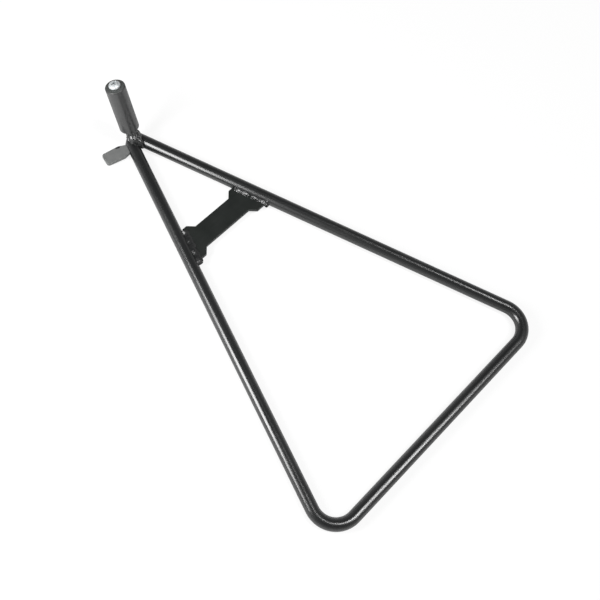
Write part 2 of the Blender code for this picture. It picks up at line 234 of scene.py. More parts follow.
def slab(outline: Array, thickness: float, edge: float, steps: int = 5) -> Array:
    """Loops of a flat plate with rounded edges.

    The outline is carried over a profile: in from the edge on the top face, round a quarter
    circle, down the side, round another one and in again on the bottom face. A point moves in
    along the outline's own normal there.

    Args:
        outline: the outline's points, anticlockwise.
        thickness: how thick the plate is.
        edge: the radius of its edges.
        steps: how many points each quarter circle has.

    Returns:
        The loops, centred on height zero.
    """
    along = np.roll(outline, -1, axis=0) - np.roll(outline, 1, axis=0)
    along /= np.linalg.norm(along, axis=1, keepdims=True)
    inward = np.stack([-along[:, 1], along[:, 0]], axis=-1)
    turn = np.linspace(math.pi / 2, 0.0, steps)
    flat_inset = 1.4 * edge
    inset = np.concatenate([[flat_inset], edge * (1 - np.cos(turn))])
    rise = np.concatenate([[0.0], edge * (np.sin(turn) - 1)]) + thickness / 2
    inset = np.concatenate([inset, inset[::-1]])
    rise = np.concatenate([rise, -rise[::-1]])
    flat = outline[None] + inward[None] * inset[:, None, None]
    return np.concatenate([flat, np.broadcast_to(rise[:, None, None], (*flat.shape[:2], 1))], axis=-1)


def turned(profile: Array, columns: int) -> Array:
    """Loops about the z axis, one for each (radius, height) point of a profile.

    A point is the radius times the cosine and sine of an even turn, at the profile's height.

    Args:
        profile: radius and height of each loop.
        columns: how many points each loop has.

    Returns:
        The loops.
    """
    turn = even_turn(columns)
    radius, height = profile[:, 0:1], profile[:, 1:2]
    return np.stack([radius * np.cos(turn), radius * np.sin(turn), height + 0 * turn], axis=-1)


def even_turn(columns: int) -> Array:
    """The angles of so many points evenly round a circle."""
    return np.arange(columns) * FULL_TURN / columns


def ring_quads(rows: int, columns: int, ends: Ends) -> Array:
    """Quads that join each loop to the next, point by point.

    Args:
        rows: how many loops.
        columns: how many points each loop has.
        ends: whether the last loop is joined to the first.

    Returns:
        Four vertex numbers for each quad.
    """
    row = np.arange(rows if ends is Ends.JOINED else rows - 1)[:, None]
    column = np.arange(columns)[None, :]
    after = (column + 1) % columns
    here = row * columns
    there = (row + 1) % rows * columns
    return np.stack([here + column, here + after, there + after, there + column], axis=-1).reshape(-1, 4)


def signed_volume(points: Array, quads: Array) -> float:
    """Six times the volume inside the quads, above zero where they face out.

    It adds up the products of three corners of each quad's two triangles. Flat caps near the
    middle of the form hardly change its sign, so the corners are taken from that middle.

    Args:
        points: the vertices.
        quads: four vertex numbers for each quad.

    Returns:
        The sum.
    """
    a, b, c, d = (points[quads[:, k]] - points.mean(axis=0) for k in range(4))
    return float(np.sum(a * np.cross(b, c)) + np.sum(a * np.cross(c, d)))


def linked(name: str, data: bpy.types.ID) -> bpy.types.Object:
    """Makes an object at the origin and links it to the scene.

    Args:
        name: the object's name.
        data: its mesh, lamp or camera.

    Returns:
        The object.
    """
    made = bpy.data.objects.new(name, data)
    bpy.context.scene.collection.objects.link(made)
    return made


def skin(name: str, loops: Array, ends: Ends, sharp_degrees: float = 40.0) -> bpy.types.Object:
    """A closed mesh over a row of loops, with its faces pointing out.

    Args:
        name: the object's name.
        loops: an array of loops, points and coordinates.
        ends: whether the ends are capped by a flat face each or joined to each other.
        sharp_degrees: edges that turn by more stay sharp.

    Returns:
        The object, at the origin.
    """
    rows, columns, _ = loops.shape
    points = loops.reshape(-1, 3)
    quads = ring_quads(rows, columns, ends)
    faces = quads.tolist()
    if ends is Ends.CAPPED:
        faces.append(list(range(columns))[::-1])
        faces.append(list(range((rows - 1) * columns, rows * columns)))
    if signed_volume(points, quads) < 0:
        faces = [face[::-1] for face in faces]
    mesh = bpy.data.meshes.new(name)
    mesh.from_pydata(points.tolist(), [], faces)
    mesh.shade_smooth()
    mesh.set_sharp_from_angle(angle=math.radians(sharp_degrees))
    return linked(name, mesh)


# Places


@dataclass(frozen=True)
class Triangle:
    """The plane of the bar: where its centre lines run, and where that plane is in the world."""

    height: float = 332.0 * MM
    base: float = 232.5 * MM
    bend_radius: float = 18.0 * MM
    bar_radius: float = 5.0 * MM
    stub_radius: float = 4.5 * MM
    fork_web: float = 1.7 * MM

    @property
    def half_apex(self) -> float:
        """Half of the angle between the legs."""
        return math.atan2(self.base / 2, self.height)

    @property
    def crotch(self) -> float:
        """How far up the legs' inner sides meet."""
        return self.height - self.bar_radius / math.sin(self.half_apex)

    @property
    def stub_place(self) -> float:
        """How far up the peg's axis crosses the plane."""
        return self.crotch + self.fork_web + self.stub_radius

    @property
    def seat(self) -> Vector:
        """The plane's own origin in the world: the middle of the base's centre line.

        Returns:
            The place, whose height is half of the bar's.
        """
        low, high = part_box("frame_bar")
        lift = (high.z - low.z) / 2
        return Vector((0.0, low.y + lift, lift))

    def leg_x(self, y: Array | float) -> Array | float:
        """How far the right leg's centre line is from the middle, this far up."""
        return (self.height - y) * math.tan(self.half_apex)

    def inner_x(self, y: float, clearance: float) -> float:
        """How far the right leg's inner side is from the middle, less a clearance."""
        return self.leg_x(y) - (self.bar_radius + clearance) / math.cos(self.half_apex)

    def place(self, points: Array) -> Array:
        """Points of the plane in the world."""
        return points + np.array(self.seat)


@dataclass(frozen=True)
class PegAxis:
    """The peg's axis, from the joint on which the sleeve turns."""

    triangle: Triangle
    joint_name: str = "sleeve_spin"

    @property
    def joint(self) -> dict:
        """The joint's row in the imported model."""
        return next(joint for joint in frame["joints"] if joint["name"] == self.joint_name)

    @property
    def direction(self) -> Vector:
        """The way the peg points."""
        return Vector(self.joint["axis"]).normalized()

    @property
    def foot(self) -> Vector:
        """Where the axis crosses the plane of the bar, in the world."""
        point = Vector(self.joint["pos_m"])
        return point - self.direction * (point.z - self.triangle.seat.z) / self.direction.z

    @property
    def lean(self) -> float:
        """The angle by which the peg leans from the upright, towards +Y."""
        return math.atan2(self.direction.y, self.direction.z)

    @property
    def slope(self) -> Array:
        """The way the peg points, as an array worked out from its lean."""
        return np.array([0.0, math.sin(self.lean), math.cos(self.lean)])

    def place(self, points: Array) -> Array:
        """Points of the peg's own frame, which is z along the axis and x to the right, in the world."""
        turn = np.array(Matrix.Rotation(-self.lean, 3, "X"))
        return points @ turn.T + np.array(self.foot)


# Finishes


class Nodes:
    """A node tree, built by short calls."""

    def __init__(self, tree: bpy.types.NodeTree) -> None:
        """Keeps the tree.

        Args:
            tree: the node tree of a material or a world.
        """
        self.tree = tree

    def feed(self, socket: Socket, value: Fed) -> None:
        """Links a socket to an input, or sets a value there.

        Args:
            socket: the input.
            value: an output's socket, or the value.
        """
        if isinstance(value, Socket):
            self.tree.links.new(value, socket)
        else:
            socket.default_value = value

    def node(self, kind: str, inputs: Inputs | None = None, **settings: str) -> bpy.types.Node:
        """Adds a node.

        Args:
            kind: its type, without the prefix ShaderNode.
            inputs: for each input's name or number, a socket to link or a value to set.
            settings: the node's own settings.

        Returns:
            The node.
        """
        made = self.tree.nodes.new("ShaderNode" + kind)
        for setting, value in settings.items():
            setattr(made, setting, value)
        for key, value in (inputs or {}).items():
            self.feed(made.inputs[key], value)
        return made


class Recipe(Nodes):
    """A material with one shader, whose pattern reads the piece's own coordinates."""

    def __init__(self, name: str) -> None:
        """Makes the material and finds its shader.

        Args:
            name: the material's name.
        """
        self.material = bpy.data.materials.new(name)
        self.material.use_nodes = True
        super().__init__(self.material.node_tree)
        self.shader = self.tree.nodes["Principled BSDF"]
        self.coordinates = self.node("TexCoord").outputs["Object"]

    def noise(
        self, grain: float, detail: float = 2.0, stretch: Point = (1, 1, 1), turn: float = 0.0
    ) -> Socket:
        """A noise whose lumps are about as long as the grain.

        Args:
            grain: the length of a lump.
            detail: how many finer layers are added.
            stretch: how much longer the lumps are along x, y and z.
            turn: an angle about x by which those axes are turned first.

        Returns:
            The noise, from 0 to 1.
        """
        scale = tuple(1 / longer for longer in stretch)
        inputs = {"Vector": self.coordinates, "Rotation": (turn, 0, 0), "Scale": scale}
        mapping = self.node("Mapping", inputs)
        made = self.node("TexNoise", {"Vector": mapping.outputs[0], "Scale": 1 / grain, "Detail": detail})
        return made.outputs[0]

    def between(self, factor: Socket, span: Span, low: float = 0.0, high: float = 1.0) -> Socket:
        """A number that goes evenly from low to high while the factor goes through a span.

        Args:
            factor: the number that it follows.
            span: the factor up to which it is low, and the one from which it is high.
            low: the number at the start of the span.
            high: the number at its end.

        Returns:
            The number.
        """
        start, end = span
        inputs = {"Value": factor, "From Min": start, "From Max": end, "To Min": low, "To Max": high}
        return self.node("MapRange", inputs).outputs[0]

    def blend(self, factor: Socket, first: Colour | Socket, second: Colour | Socket) -> Socket:
        """A colour that goes from the first to the second as the factor goes from 0 to 1.

        Args:
            factor: the number that it follows.
            first: the colour at 0.
            second: the colour at 1.

        Returns:
            The colour.
        """
        ends = [given if isinstance(given, Socket) else (*given, 1.0) for given in (first, second)]
        inputs = {"Factor": factor, **dict(zip(MIX_COLOURS, ends))}
        return self.node("Mix", inputs, data_type="RGBA").outputs[MIXED_COLOUR]

    def bump(self, height: Socket, depth: float, below: Socket | None = None) -> Socket:
        """A bump of the given depth, on top of another one if there is one.

        Args:
            height: its height, from 0 to 1.
            depth: how deep it is in metres.
            below: the normal of the bump below it.

        Returns:
            The normal.
        """
        inputs = {"Height": height, "Distance": depth, "Strength": 1.0}
        if below is not None:
            inputs["Normal"] = below
        return self.node("Bump", inputs).outputs[0]

    def set(self, **values: Fed) -> None:
        """Sets or links the shader's inputs.

        Args:
            values: a value or a socket for each input, whose name has _ for a space.
        """
        for name, value in values.items():
            self.feed(self.shader.inputs[name.replace("_", " ")], value)


@dataclass(frozen=True)
class GlossCoat:
    """Gloss black powder coat: a slight orange peel, dull specks and hazy patches."""

    slot: str = "gloss_black_coat"
    colour: Colour = (0.0078, 0.0086, 0.0088)
    dusty: Colour = (0.014, 0.015, 0.015)
    roughness: float = 0.255
    hazy_roughness: float = 0.305
    specular: float = 1.0
    patch_grain: float = 24.0 * MM
    speck_grain: float = 0.9 * MM
    dust_span: Span = (0.60, 0.80)
    peel_grain: float = 4.0 * MM
    peel_depth: float = 0.0012 * MM

    def material(self) -> bpy.types.Material:
        """Makes the coat's material.

        Returns:
            The material.
        """
        recipe = Recipe(self.slot)
        patches = recipe.noise(self.patch_grain, detail=3.0)
        specks = recipe.between(recipe.noise(self.speck_grain), self.dust_span)
        recipe.set(
            Base_Color=recipe.blend(specks, self.colour, self.dusty),
            Roughness=recipe.between(patches, MOST_OF_NOISE, self.roughness, self.hazy_roughness),
            Specular_IOR_Level=self.specular,
            Normal=recipe.bump(recipe.noise(self.peel_grain, detail=1.0), self.peel_depth),
        )
        return recipe.material


@dataclass(frozen=True)
class SatinCoat:
    """Satin black coat on the flat plate: a finer, rougher skin with faint rubbed streaks."""

    slot: str = "matte_black_coat"
    colour: Colour = (0.0045, 0.0068, 0.0055)
    rubbed: Colour = (0.008, 0.010, 0.009)
    roughness: float = 0.42
    dull_roughness: float = 0.52
    streak_grain: float = 3.0 * MM
    streak_stretch: Point = (7, 1, 1)
    rubbed_span: Span = (0.45, 0.75)
    patch_grain: float = 12.0 * MM
    skin_grain: float = 0.8 * MM
    skin_depth: float = 0.012 * MM

    def material(self) -> bpy.types.Material:
        """Makes the coat's material.

        Returns:
            The material.
        """
        recipe = Recipe(self.slot)
        streaks = recipe.noise(self.streak_grain, detail=4.0, stretch=self.streak_stretch)
        patches = recipe.noise(self.patch_grain, detail=3.0)
        recipe.set(
            Base_Color=recipe.blend(recipe.between(streaks, self.rubbed_span), self.colour, self.rubbed),
            Roughness=recipe.between(patches, MOST_OF_NOISE, self.roughness, self.dull_roughness),
            Normal=recipe.bump(recipe.noise(self.skin_grain), self.skin_depth),
        )
        return recipe.material


@dataclass(frozen=True)
class BlackenedSteel:
    """Blackened steel of the stub, with the fine rings that turning leaves."""

    turn: float
    slot: str = "dark_steel"
    colour: Colour = (0.085, 0.088, 0.088)
    worn: Colour = (0.15, 0.15, 0.15)
    metallic: float = 0.6
    smooth_roughness: float = 0.36
    roughness: float = 0.50
    ring_grain: float = 0.35 * MM
    ring_stretch: Point = (40, 40, 1)
    ring_depth: float = 0.01 * MM
    patch_grain: float = 5.0 * MM
    worn_span: Span = (0.4, 0.8)

    def material(self) -> bpy.types.Material:
        """Makes the steel's material.

        Returns:
            The material.
        """
        recipe = Recipe(self.slot)
        rings = recipe.noise(self.ring_grain, stretch=self.ring_stretch, turn=self.turn)
        patches = recipe.noise(self.patch_grain, detail=3.0)
        recipe.set(
            Base_Color=recipe.blend(recipe.between(patches, self.worn_span), self.colour, self.worn),
            Metallic=self.metallic,
            Roughness=recipe.between(rings, MOST_OF_NOISE, self.smooth_roughness, self.roughness),
            Normal=recipe.bump(rings, self.ring_depth),
        )
        return recipe.material


@dataclass(frozen=True)
class SleevePlastic:
    """Near black plastic of the sleeve: satin, with rubbed lines along it and painted light on its pitted
    end face.
    """

    axis: Point
    end: float
    turn: float
    slot: str = "sleeve_plastic"
    colour: Colour = (0.0080, 0.0085, 0.0085)
    rubbed: Colour = (0.012, 0.013, 0.013)
    # Paler colour of the end face: painted light from above, over a pitted grain.
    painted_lit_end: Colour = (0.062, 0.067, 0.064)
    lit_end_pits: Colour = (0.024, 0.027, 0.026)
    smooth_roughness: float = 0.29
    roughness: float = 0.39
    sawn_roughness: float = 0.55
    specular: float = 1.1
    line_grain: float = 1.2 * MM
    line_stretch: Point = (1, 1, 18)
    line_depth: float = 0.004 * MM
    rubbed_span: Span = (0.5, 0.8)
    patch_grain: float = 7.0 * MM
    grain: float = 0.45 * MM
    grain_depth: float = 0.006 * MM
    pitted_span: Span = (0.35, 0.6)
    lit_end_from: float = 0.25 * MM
    lit_end_to: float = 0.05 * MM
    dull_from: float = 1.4 * MM
    dull_to: float = 0.6 * MM

    def material(self) -> bpy.types.Material:
        """Makes the plastic's material.

        The dot product of the place with the sleeve's axis says how far along it a point is. From
        the distances short of its end that are named above, it goes over to a duller roughness and, on the
        end face, to a paler pitted colour that is painted light from above.

        Returns:
            The material.
        """
        recipe = Recipe(self.slot)
        lines = recipe.noise(self.line_grain, detail=3.0, stretch=self.line_stretch, turn=self.turn)
        patches = recipe.noise(self.patch_grain, detail=3.0)
        grain = recipe.noise(self.grain)
        dot = recipe.node("VectorMath", {0: recipe.coordinates, 1: self.axis}, operation="DOT_PRODUCT")
        along = dot.outputs["Value"]
        lit_end_mask = recipe.between(along, (self.end - self.lit_end_from, self.end - self.lit_end_to))
        dull = recipe.between(along, (self.end - self.dull_from, self.end - self.dull_to))
        side = recipe.blend(recipe.between(lines, self.rubbed_span), self.colour, self.rubbed)
        # The end face's colour, painted lighter as light falling on it, with its pits.
        painted_lit_end = recipe.blend(recipe.between(grain, self.pitted_span), self.lit_end_pits, self.painted_lit_end)
        satin = recipe.between(patches, MOST_OF_NOISE, self.smooth_roughness, self.roughness)
        inputs = {"Factor": dull, "A": satin, "B": self.sawn_roughness}
        recipe.set(
            Base_Color=recipe.blend(lit_end_mask, side, painted_lit_end),
            Roughness=recipe.node("Mix", inputs).outputs[0],
            Specular_IOR_Level=self.specular,
            Normal=recipe.bump(lines, self.line_depth, recipe.bump(grain, self.grain_depth)),
        )
        return recipe.material


@dataclass(frozen=True)
class TabCoat:
    """Matte grey coat of the tab, with painted shade in a shallow dent at one shoulder."""

    shade_patch: Point
    shade_patch_turn: float
    slot: str = "tab_coat"
    colour: Colour = (0.150, 0.153, 0.151)
    shade: Colour = (0.132, 0.136, 0.134)
    # Dark colour painted into the shoulder's corner as shade.
    painted_shade: Colour = (0.010, 0.010, 0.010)
    smooth_roughness: float = 0.50
    roughness: float = 0.63
    patch_grain: float = 4.0 * MM
    grain: float = 0.35 * MM
    grain_depth: float = 0.010 * MM
    shade_patch_length: float = 4.4 * MM
    shade_patch_width: float = 2.9 * MM
    shade_patch_depth: float = 0.08 * MM
    ragged_grain: float = 0.8 * MM
    shade_patch_span: Span = (1.35, 1.6)

    def material(self) -> bpy.types.Material:
        """Makes the coat's material.

        The painted shade is a dark colour that stands in for the shade in the shoulder's corner. It lies
        where the distance from its centre, counted in its own half length and half width, plus a noise
        that makes its edge ragged, is small, and there the bump sinks a shallow dent.

        Returns:
            The material.
        """
        recipe = Recipe(self.slot)
        patches = recipe.noise(self.patch_grain, detail=3.0)
        grain = recipe.noise(self.grain)
        coat = recipe.blend(recipe.between(patches, MOST_OF_NOISE), self.shade, self.colour)
        half_size = (self.shade_patch_length / 2, self.shade_patch_width / 2, self.shade_patch_width / 2)
        around = recipe.node(
            "Mapping",
            {
                "Vector": recipe.coordinates,
                "Location": self.shade_patch,
                "Rotation": (0, 0, self.shade_patch_turn),
                "Scale": half_size,
            },
            vector_type="TEXTURE",
        )
        away = recipe.node("VectorMath", {0: around.outputs[0]}, operation="LENGTH").outputs["Value"]
        edge = recipe.node("Math", {0: recipe.noise(self.ragged_grain), 1: away}, operation="ADD")
        # Mask of the painted shade at the shoulder.
        shade_patch_mask = recipe.between(edge.outputs[0], self.shade_patch_span, low=1.0, high=0.0)
        recipe.set(
            Base_Color=recipe.blend(shade_patch_mask, coat, self.painted_shade),
            Roughness=recipe.between(patches, MOST_OF_NOISE, self.smooth_roughness, self.roughness),
            Normal=recipe.bump(shade_patch_mask, -self.shade_patch_depth, recipe.bump(grain, self.grain_depth)),
        )
        return recipe.material


@dataclass(frozen=True)
class BrightZinc:
    """Bright zinc plate of the screw, with a faint crystal grain and cloudy patches."""

    slot: str = "bright_zinc"
    colour: Colour = (0.74, 0.77, 0.78)
    clouded: Colour = (0.50, 0.53, 0.54)
    metallic: float = 0.5
    roughness: float = 0.42
    clouded_roughness: float = 0.56
    cloud_grain: float = 1.6 * MM
    grain: float = 0.3 * MM
    grain_depth: float = 0.02 * MM

    def material(self) -> bpy.types.Material:
        """Makes the zinc's material.

        Returns:
            The material.
        """
        recipe = Recipe(self.slot)
        clouds = recipe.noise(self.cloud_grain, detail=3.0)
        recipe.set(
            Base_Color=recipe.blend(recipe.between(clouds, MOST_OF_NOISE), self.colour, self.clouded),
            Metallic=self.metallic,
            Roughness=recipe.between(clouds, MOST_OF_NOISE, self.roughness, self.clouded_roughness),
            Normal=recipe.bump(recipe.noise(self.grain), self.grain_depth),
        )
        return recipe.material


def fit(piece: bpy.types.Object, finish: bpy.types.Material, slot: str, body: Body, node: str) -> None:
    """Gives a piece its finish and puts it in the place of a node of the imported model.

    Args:
        piece: the piece.
        finish: its material.
        slot: the record's slot of that material.
        body: the body that it rides on.
        node: the node that it stands for.
    """
    piece.data.materials.append(finish)
    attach(piece, body.value)
    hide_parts(node)
    LOG.info("%s: %d faces in %s", piece.name, len(piece.data.polygons), slot)


# Welds


@dataclass(frozen=True)
class Wave:
    """A slow sine that makes a weld uneven, along it and, by its slant, across it."""

    rate: float
    shift: float = 0.0
    height: float = 1.0
    slant: float = 0.0

    def at(self, along: Array, seed: float = 1.0, across: Array | float = 0.0) -> Array:
        """The height times the sine of rate times along plus slant times across plus shift times seed."""
        return self.height * np.sin(self.rate * along + self.slant * across + self.shift * seed)


@dataclass(frozen=True)
class Bead:
    """A run of weld, thrown down in overlapping crescents."""

    radius: float
    pitch: float = 1.9 * MM
    ripple: float = 0.16
    sharpness: float = 0.7
    bow: float = 0.55
    stray: Wave = Wave(0.9, 1.0, 0.22)
    swelling: tuple[Wave, ...] = (Wave(1.7, 1.0, 0.035), Wave(0.61, 2.3, 0.035, slant=1.0))
    step: float = 0.16 * MM
    least_rows: int = 8
    columns: int = 40
    sharp_degrees: float = 70.0

    def swell(self, length: Array, turn: Array, seed: float) -> Array:
        """The bead's radius as a share of its full one.

        A crescent is the sine of half a phase that runs with the length and lags on the bead's
        flanks, so its edge bows forward. Slow sines along and round the bead make it uneven.

        Args:
            length: how far along the bead, as a column.
            turn: the angle round the bead, as a row.
            seed: a shift that makes one bead unlike the next.

        Returns:
            The share for each length and turn.
        """
        laps = length / self.pitch
        phase = laps + self.bow * np.cos(turn) + self.stray.at(laps, seed)
        crest = np.abs(np.sin(math.pi * phase)) ** self.sharpness
        return 1 - self.ripple * (1 - crest) + sum(wave.at(laps, seed, turn) for wave in self.swelling)

    def straight(self, start: Array, end: Array, seed: float) -> Array:
        """Loops of a bead from one point to another, in the plane of the bar.

        The profile is a circle of the swelling radius, carried along the line, and each end is
        closed by half a sphere.

        Args:
            start: its first point.
            end: its last point.
            seed: a shift that makes one bead unlike the next.

        Returns:
            The loops.
        """
        run = float(np.linalg.norm(end - start))
        along = (end - start) / run
        across = np.array([along[1], -along[0], 0.0])
        up = np.array([0.0, 0.0, 1.0])
        length = np.linspace(0.0, run, max(self.least_rows, round(run / self.step)))[:, None]
        turn = even_turn(self.columns)[None, :]
        ending = rounded_end(np.minimum(length, run - length), self.radius)
        radius = (self.radius * ending * self.swell(length, turn, seed))[..., None]
        centre = start + along * length[..., None]
        return centre + radius * (np.cos(turn)[..., None] * across + np.sin(turn)[..., None] * up)


@dataclass(frozen=True)
class Fillet:
    """A weld that fills the corner between a bar and the flat face beside it."""

    bar_toe: float
    face_toe: float
    bulge: float
    crater: float
    end_climb: float
    end_crater: float
    flatness: float
    pitch: float
    bar_radius: float = 5.0 * MM
    face_height: float = 1.5 * MM
    sunk: float = 0.1 * MM
    root_depth: float = 0.3 * MM
    cover: float = 0.5 * MM
    end_radius: float = 1.3 * MM
    climb_length: float = 2.4 * MM
    crater_length: float = 7.2 * MM
    rolls: tuple[Wave, ...] = (Wave(1.9, 1.0), Wave(0.83, 2.1))
    toe_roll: float = 0.10
    bulge_roll: float = 0.175
    edge: Wave = Wave(2.6, 1.3, 0.275 * MM)
    lag: float = 0.55
    stray: Wave = Wave(1.0, 1.0, 0.18)
    rise_share: float = 0.86
    crest_blend: float = 0.2
    step: float = 0.13 * MM
    arc_columns: int = 30
    back_columns: int = 6
    sharp_degrees: float = 60.0

    def crests(self, laps: Array, share: Array, seed: float) -> Array:
        """The crescents: each rises slowly along the weld, drops back quickly and lags on its flanks.

        Args:
            laps: how many crescents along the weld, as a column.
            share: how far from the toe on the bar to the toe on the face, as a row.
            seed: a shift that makes one weld unlike the next.

        Returns:
            Their height for each place, from about 0 to 1.
        """
        phase = laps + self.lag * (2 * share - 1) ** 2 + self.stray.at(laps, seed)
        lap = phase - np.floor(phase)
        return soft_min(lap / self.rise_share, (1 - lap) / (1 - self.rise_share), self.crest_blend)

    def section(self, length: Array, run: float, seed: float) -> Array:
        """Cross-sections of the weld, as distance from the bar's centre line and height.

        The outer side is the chord from the toe on the bar to the toe on the face, raised by a
        bulge of one less a power of the distance from its middle, into which the crescents cut.
        The hidden side goes back through the corner. By bell curves of the distance from the
        end, the toe on the bar climbs near both ends and the crescents deepen near the first. At
        both ends the section shrinks into the corner as a quarter circle.

        Args:
            length: how far along the weld each section is, as a column.
            run: the whole weld's length.
            seed: a shift that makes one weld unlike the next.

        Returns:
            An array of sections, points and two coordinates.
        """
        laps = length / self.pitch
        share = np.linspace(0.0, 1.0, self.arc_columns)[None, :]
        roll = sum(wave.at(laps, seed) for wave in self.rolls)
        near_end = np.minimum(length, run - length)
        on_bar = self.bar_radius - self.sunk
        climb = self.end_climb * bell(near_end, 0.0, self.climb_length)
        angle = self.bar_toe * (1 + self.toe_roll * roll) + climb
        bar = np.stack([on_bar * np.cos(angle), on_bar * np.sin(angle)], axis=-1)
        far = self.face_toe + self.edge.at(laps, seed)
        face = np.stack([far, np.full_like(far, self.face_height - self.sunk)], axis=-1)
        chord = face - bar
        out = np.stack([-chord[..., 1], chord[..., 0]], axis=-1)
        out /= np.linalg.norm(out, axis=-1, keepdims=True)
        body = 1 - np.abs(2 * share - 1) ** self.flatness
        crater = self.crater + self.end_crater * bell(length, 0.0, self.crater_length)
        cut = crater * (1 - self.crests(laps, share, seed))
        raised = body * (self.bulge * (1 + self.bulge_roll * roll) - cut)
        outer = bar + chord * share[..., None] + out * raised[..., None]
        root = np.array([self.bar_radius - self.root_depth, self.face_height - self.cover])
        turn = np.linspace(0.0, 1.0, self.back_columns)[None, :, None]
        low = face - [0.0, self.cover]
        inner = bar - [self.cover, 0.0]
        back = np.concatenate([low + (root - low) * turn, root + (inner - root) * turn[:, 1:]], axis=1)
        whole = np.concatenate([outer, back], axis=1)
        return root + (whole - root) * rounded_end(near_end, self.end_radius)[..., None]

    def straight(self, start: Array, end: Array, inward: Array, up: Array, seed: float) -> Array:
        """Loops of the weld beside a straight bar.

        Args:
            start: where it begins, on the bar's centre line.
            end: where it ends, on the bar's centre line.
            inward: the direction from the bar to the face.
            up: the side that the weld is on.
            seed: a shift that makes one weld unlike the next.

        Returns:
            The loops.
        """
        run = float(np.linalg.norm(end - start))
        length = np.linspace(0.0, run, round(run / self.step))[:, None]
        across = self.section(length, run, seed)
        centre = start + (end - start) / run * length[..., None]
        return centre + across[..., 0:1] * inward + across[..., 1:2] * up


# The bent bar


@dataclass(frozen=True)
class FrameBar:
    """The bent bar: base, two bends and two legs, whose ends are mitred and coped to the stub."""

    triangle: Triangle
    peg: PegAxis
    columns: int = 128
    base_rows: int = 10
    bend_rows: int = 56
    leg_rows: int = 24
    fork_rows: int = 12
    end_rows: int = 26
    middle_share: float = 0.02
    slimmer: float = 0.05 * MM
    gap: float = 0.3 * MM
    past_stub: float = 3.5 * MM
    chamfer_length: float = 3.6 * MM
    chamfer_depth: float = 2.2 * MM

    @property
    def fork_start(self) -> float:
        """How far up the shaped end of a leg begins."""
        return self.triangle.crotch - 2 * self.triangle.fork_web - self.triangle.bar_radius

    def centre_line(self) -> tuple[Array, Array]:
        """The right half of the bar's centre line, up to the fork.

        A straight stretch, an arc of the bend radius and another straight stretch follow each
        other, and the heading turns only along the arc.

        Returns:
            The points, and the heading at each.
        """
        plan = self.triangle
        foot = math.pi / 2 - plan.half_apex
        radius, up = plan.bend_radius, math.pi - foot
        bend_x = plan.base / 2 - radius / math.tan(foot / 2)
        base_x = np.linspace(0.0, bend_x, self.base_rows, endpoint=False)
        base = np.stack([base_x, 0 * base_x], axis=-1)
        bend = arc_points((bend_x, radius), radius, -math.pi / 2, up - math.pi / 2, self.bend_rows)
        leg_y = np.linspace(bend[-1, 1], self.fork_start, self.leg_rows)[1:]
        leg = np.stack([plan.leg_x(leg_y), leg_y], axis=-1)
        heading = np.concatenate([0 * base_x, np.linspace(0.0, up, self.bend_rows), np.full(len(leg), up)])
        return np.concatenate([base, bend, leg]), heading

    def reach(self, start: Array, heading: Array, share: Array) -> Array:
        """How far a line along the leg goes before the bar ends.

        It ends at the first of three: the mitre plane between the two halves, the cylinder of
        the stub and its gap, or the bar's own chamfered end. The cylinder is met at the nearer
        root of the quadratic equation for the line's distance from the stub's axis.

        Args:
            start: where each line starts.
            heading: the leg's direction.
            share: each line's distance from the centre line, in radii.

        Returns:
            The distance for each line.
        """
        plan, axis = self.triangle, self.peg.slope
        mitre = (self.gap / 2 - start[..., 0]) / heading[0]
        beside = start - np.array([0.0, plan.stub_place, 0.0])
        beside = beside - (beside @ axis)[..., None] * axis
        slant = heading - (heading @ axis) * axis
        square = slant @ slant
        product = beside @ slant
        rest = np.sum(beside * beside, axis=-1) - (plan.stub_radius + self.gap) ** 2
        inside = product * product - square * rest
        never = 1.0
        cope = np.where(inside > 0, (-product - np.sqrt(np.maximum(inside, 0))) / square, never)
        full = (plan.stub_place + self.past_stub - self.fork_start) / heading[1]
        edge = 1 - self.chamfer_depth / plan.bar_radius
        end = full - self.chamfer_length * np.clip((share - edge) / (1 - edge), 0.0, 1.0)
        return np.minimum(np.minimum(mitre, cope), end)

    def loops(self) -> Array:
        """The bar's loops: its right half's, and before them the same ones mirrored.

        A point is the centre line's point plus the radius times the cosine of the turn outwards
        and its sine upwards. The radius is the seat's height, so that the bar rests on the floor.
        Across the bar it is a touch less, which keeps the smooth bends inside the box of the
        model's own bends, which are of flat facets. In the fork each line runs on by its own
        reach, and over the end of the bar the loops shrink to the middle.

        Returns:
            The loops.
        """
        centre, heading = self.centre_line()
        turn = even_turn(self.columns)[:, None]
        outward = np.stack([np.sin(heading), -np.cos(heading), 0 * heading], axis=-1)[:, None]
        tall = self.triangle.seat.z
        circle = (tall - self.slimmer) * np.cos(turn) * outward + tall * np.sin(turn) * [0, 0, 1]
        flat = np.concatenate([centre, np.zeros((len(centre), 1))], axis=-1)[:, None]
        body = flat + circle
        forward = np.array([math.cos(heading[-1]), math.sin(heading[-1]), 0.0])
        rim = self.reach(body[-1], forward, np.ones(self.columns))
        steps = np.linspace(0.0, 1.0, self.fork_rows + 1)[1:, None, None]
        fork = body[-1] + forward * rim[:, None] * steps
        share = np.linspace(1.0, self.middle_share, self.end_rows)[1:, None]
        start = flat[-1] + circle[-1] * share[..., None]
        end = start + forward * self.reach(start, forward, share)[..., None]
        right = np.concatenate([body, fork, end])
        left = right[:0:-1] * [-1, 1, 1]
        return np.concatenate([left, right])

    def build(self, gloss: GlossCoat, gloss_material: bpy.types.Material) -> None:
        """Makes the bar and puts it in its place.

        Args:
            gloss: the finish, for its slot.
            gloss_material: the material of that finish.
        """
        bar = skin("bent_bar", self.triangle.place(self.loops()), Ends.CAPPED)
        fit(bar, gloss_material, gloss.slot, Body.STAND, "frame_bar")


# The plate across the legs


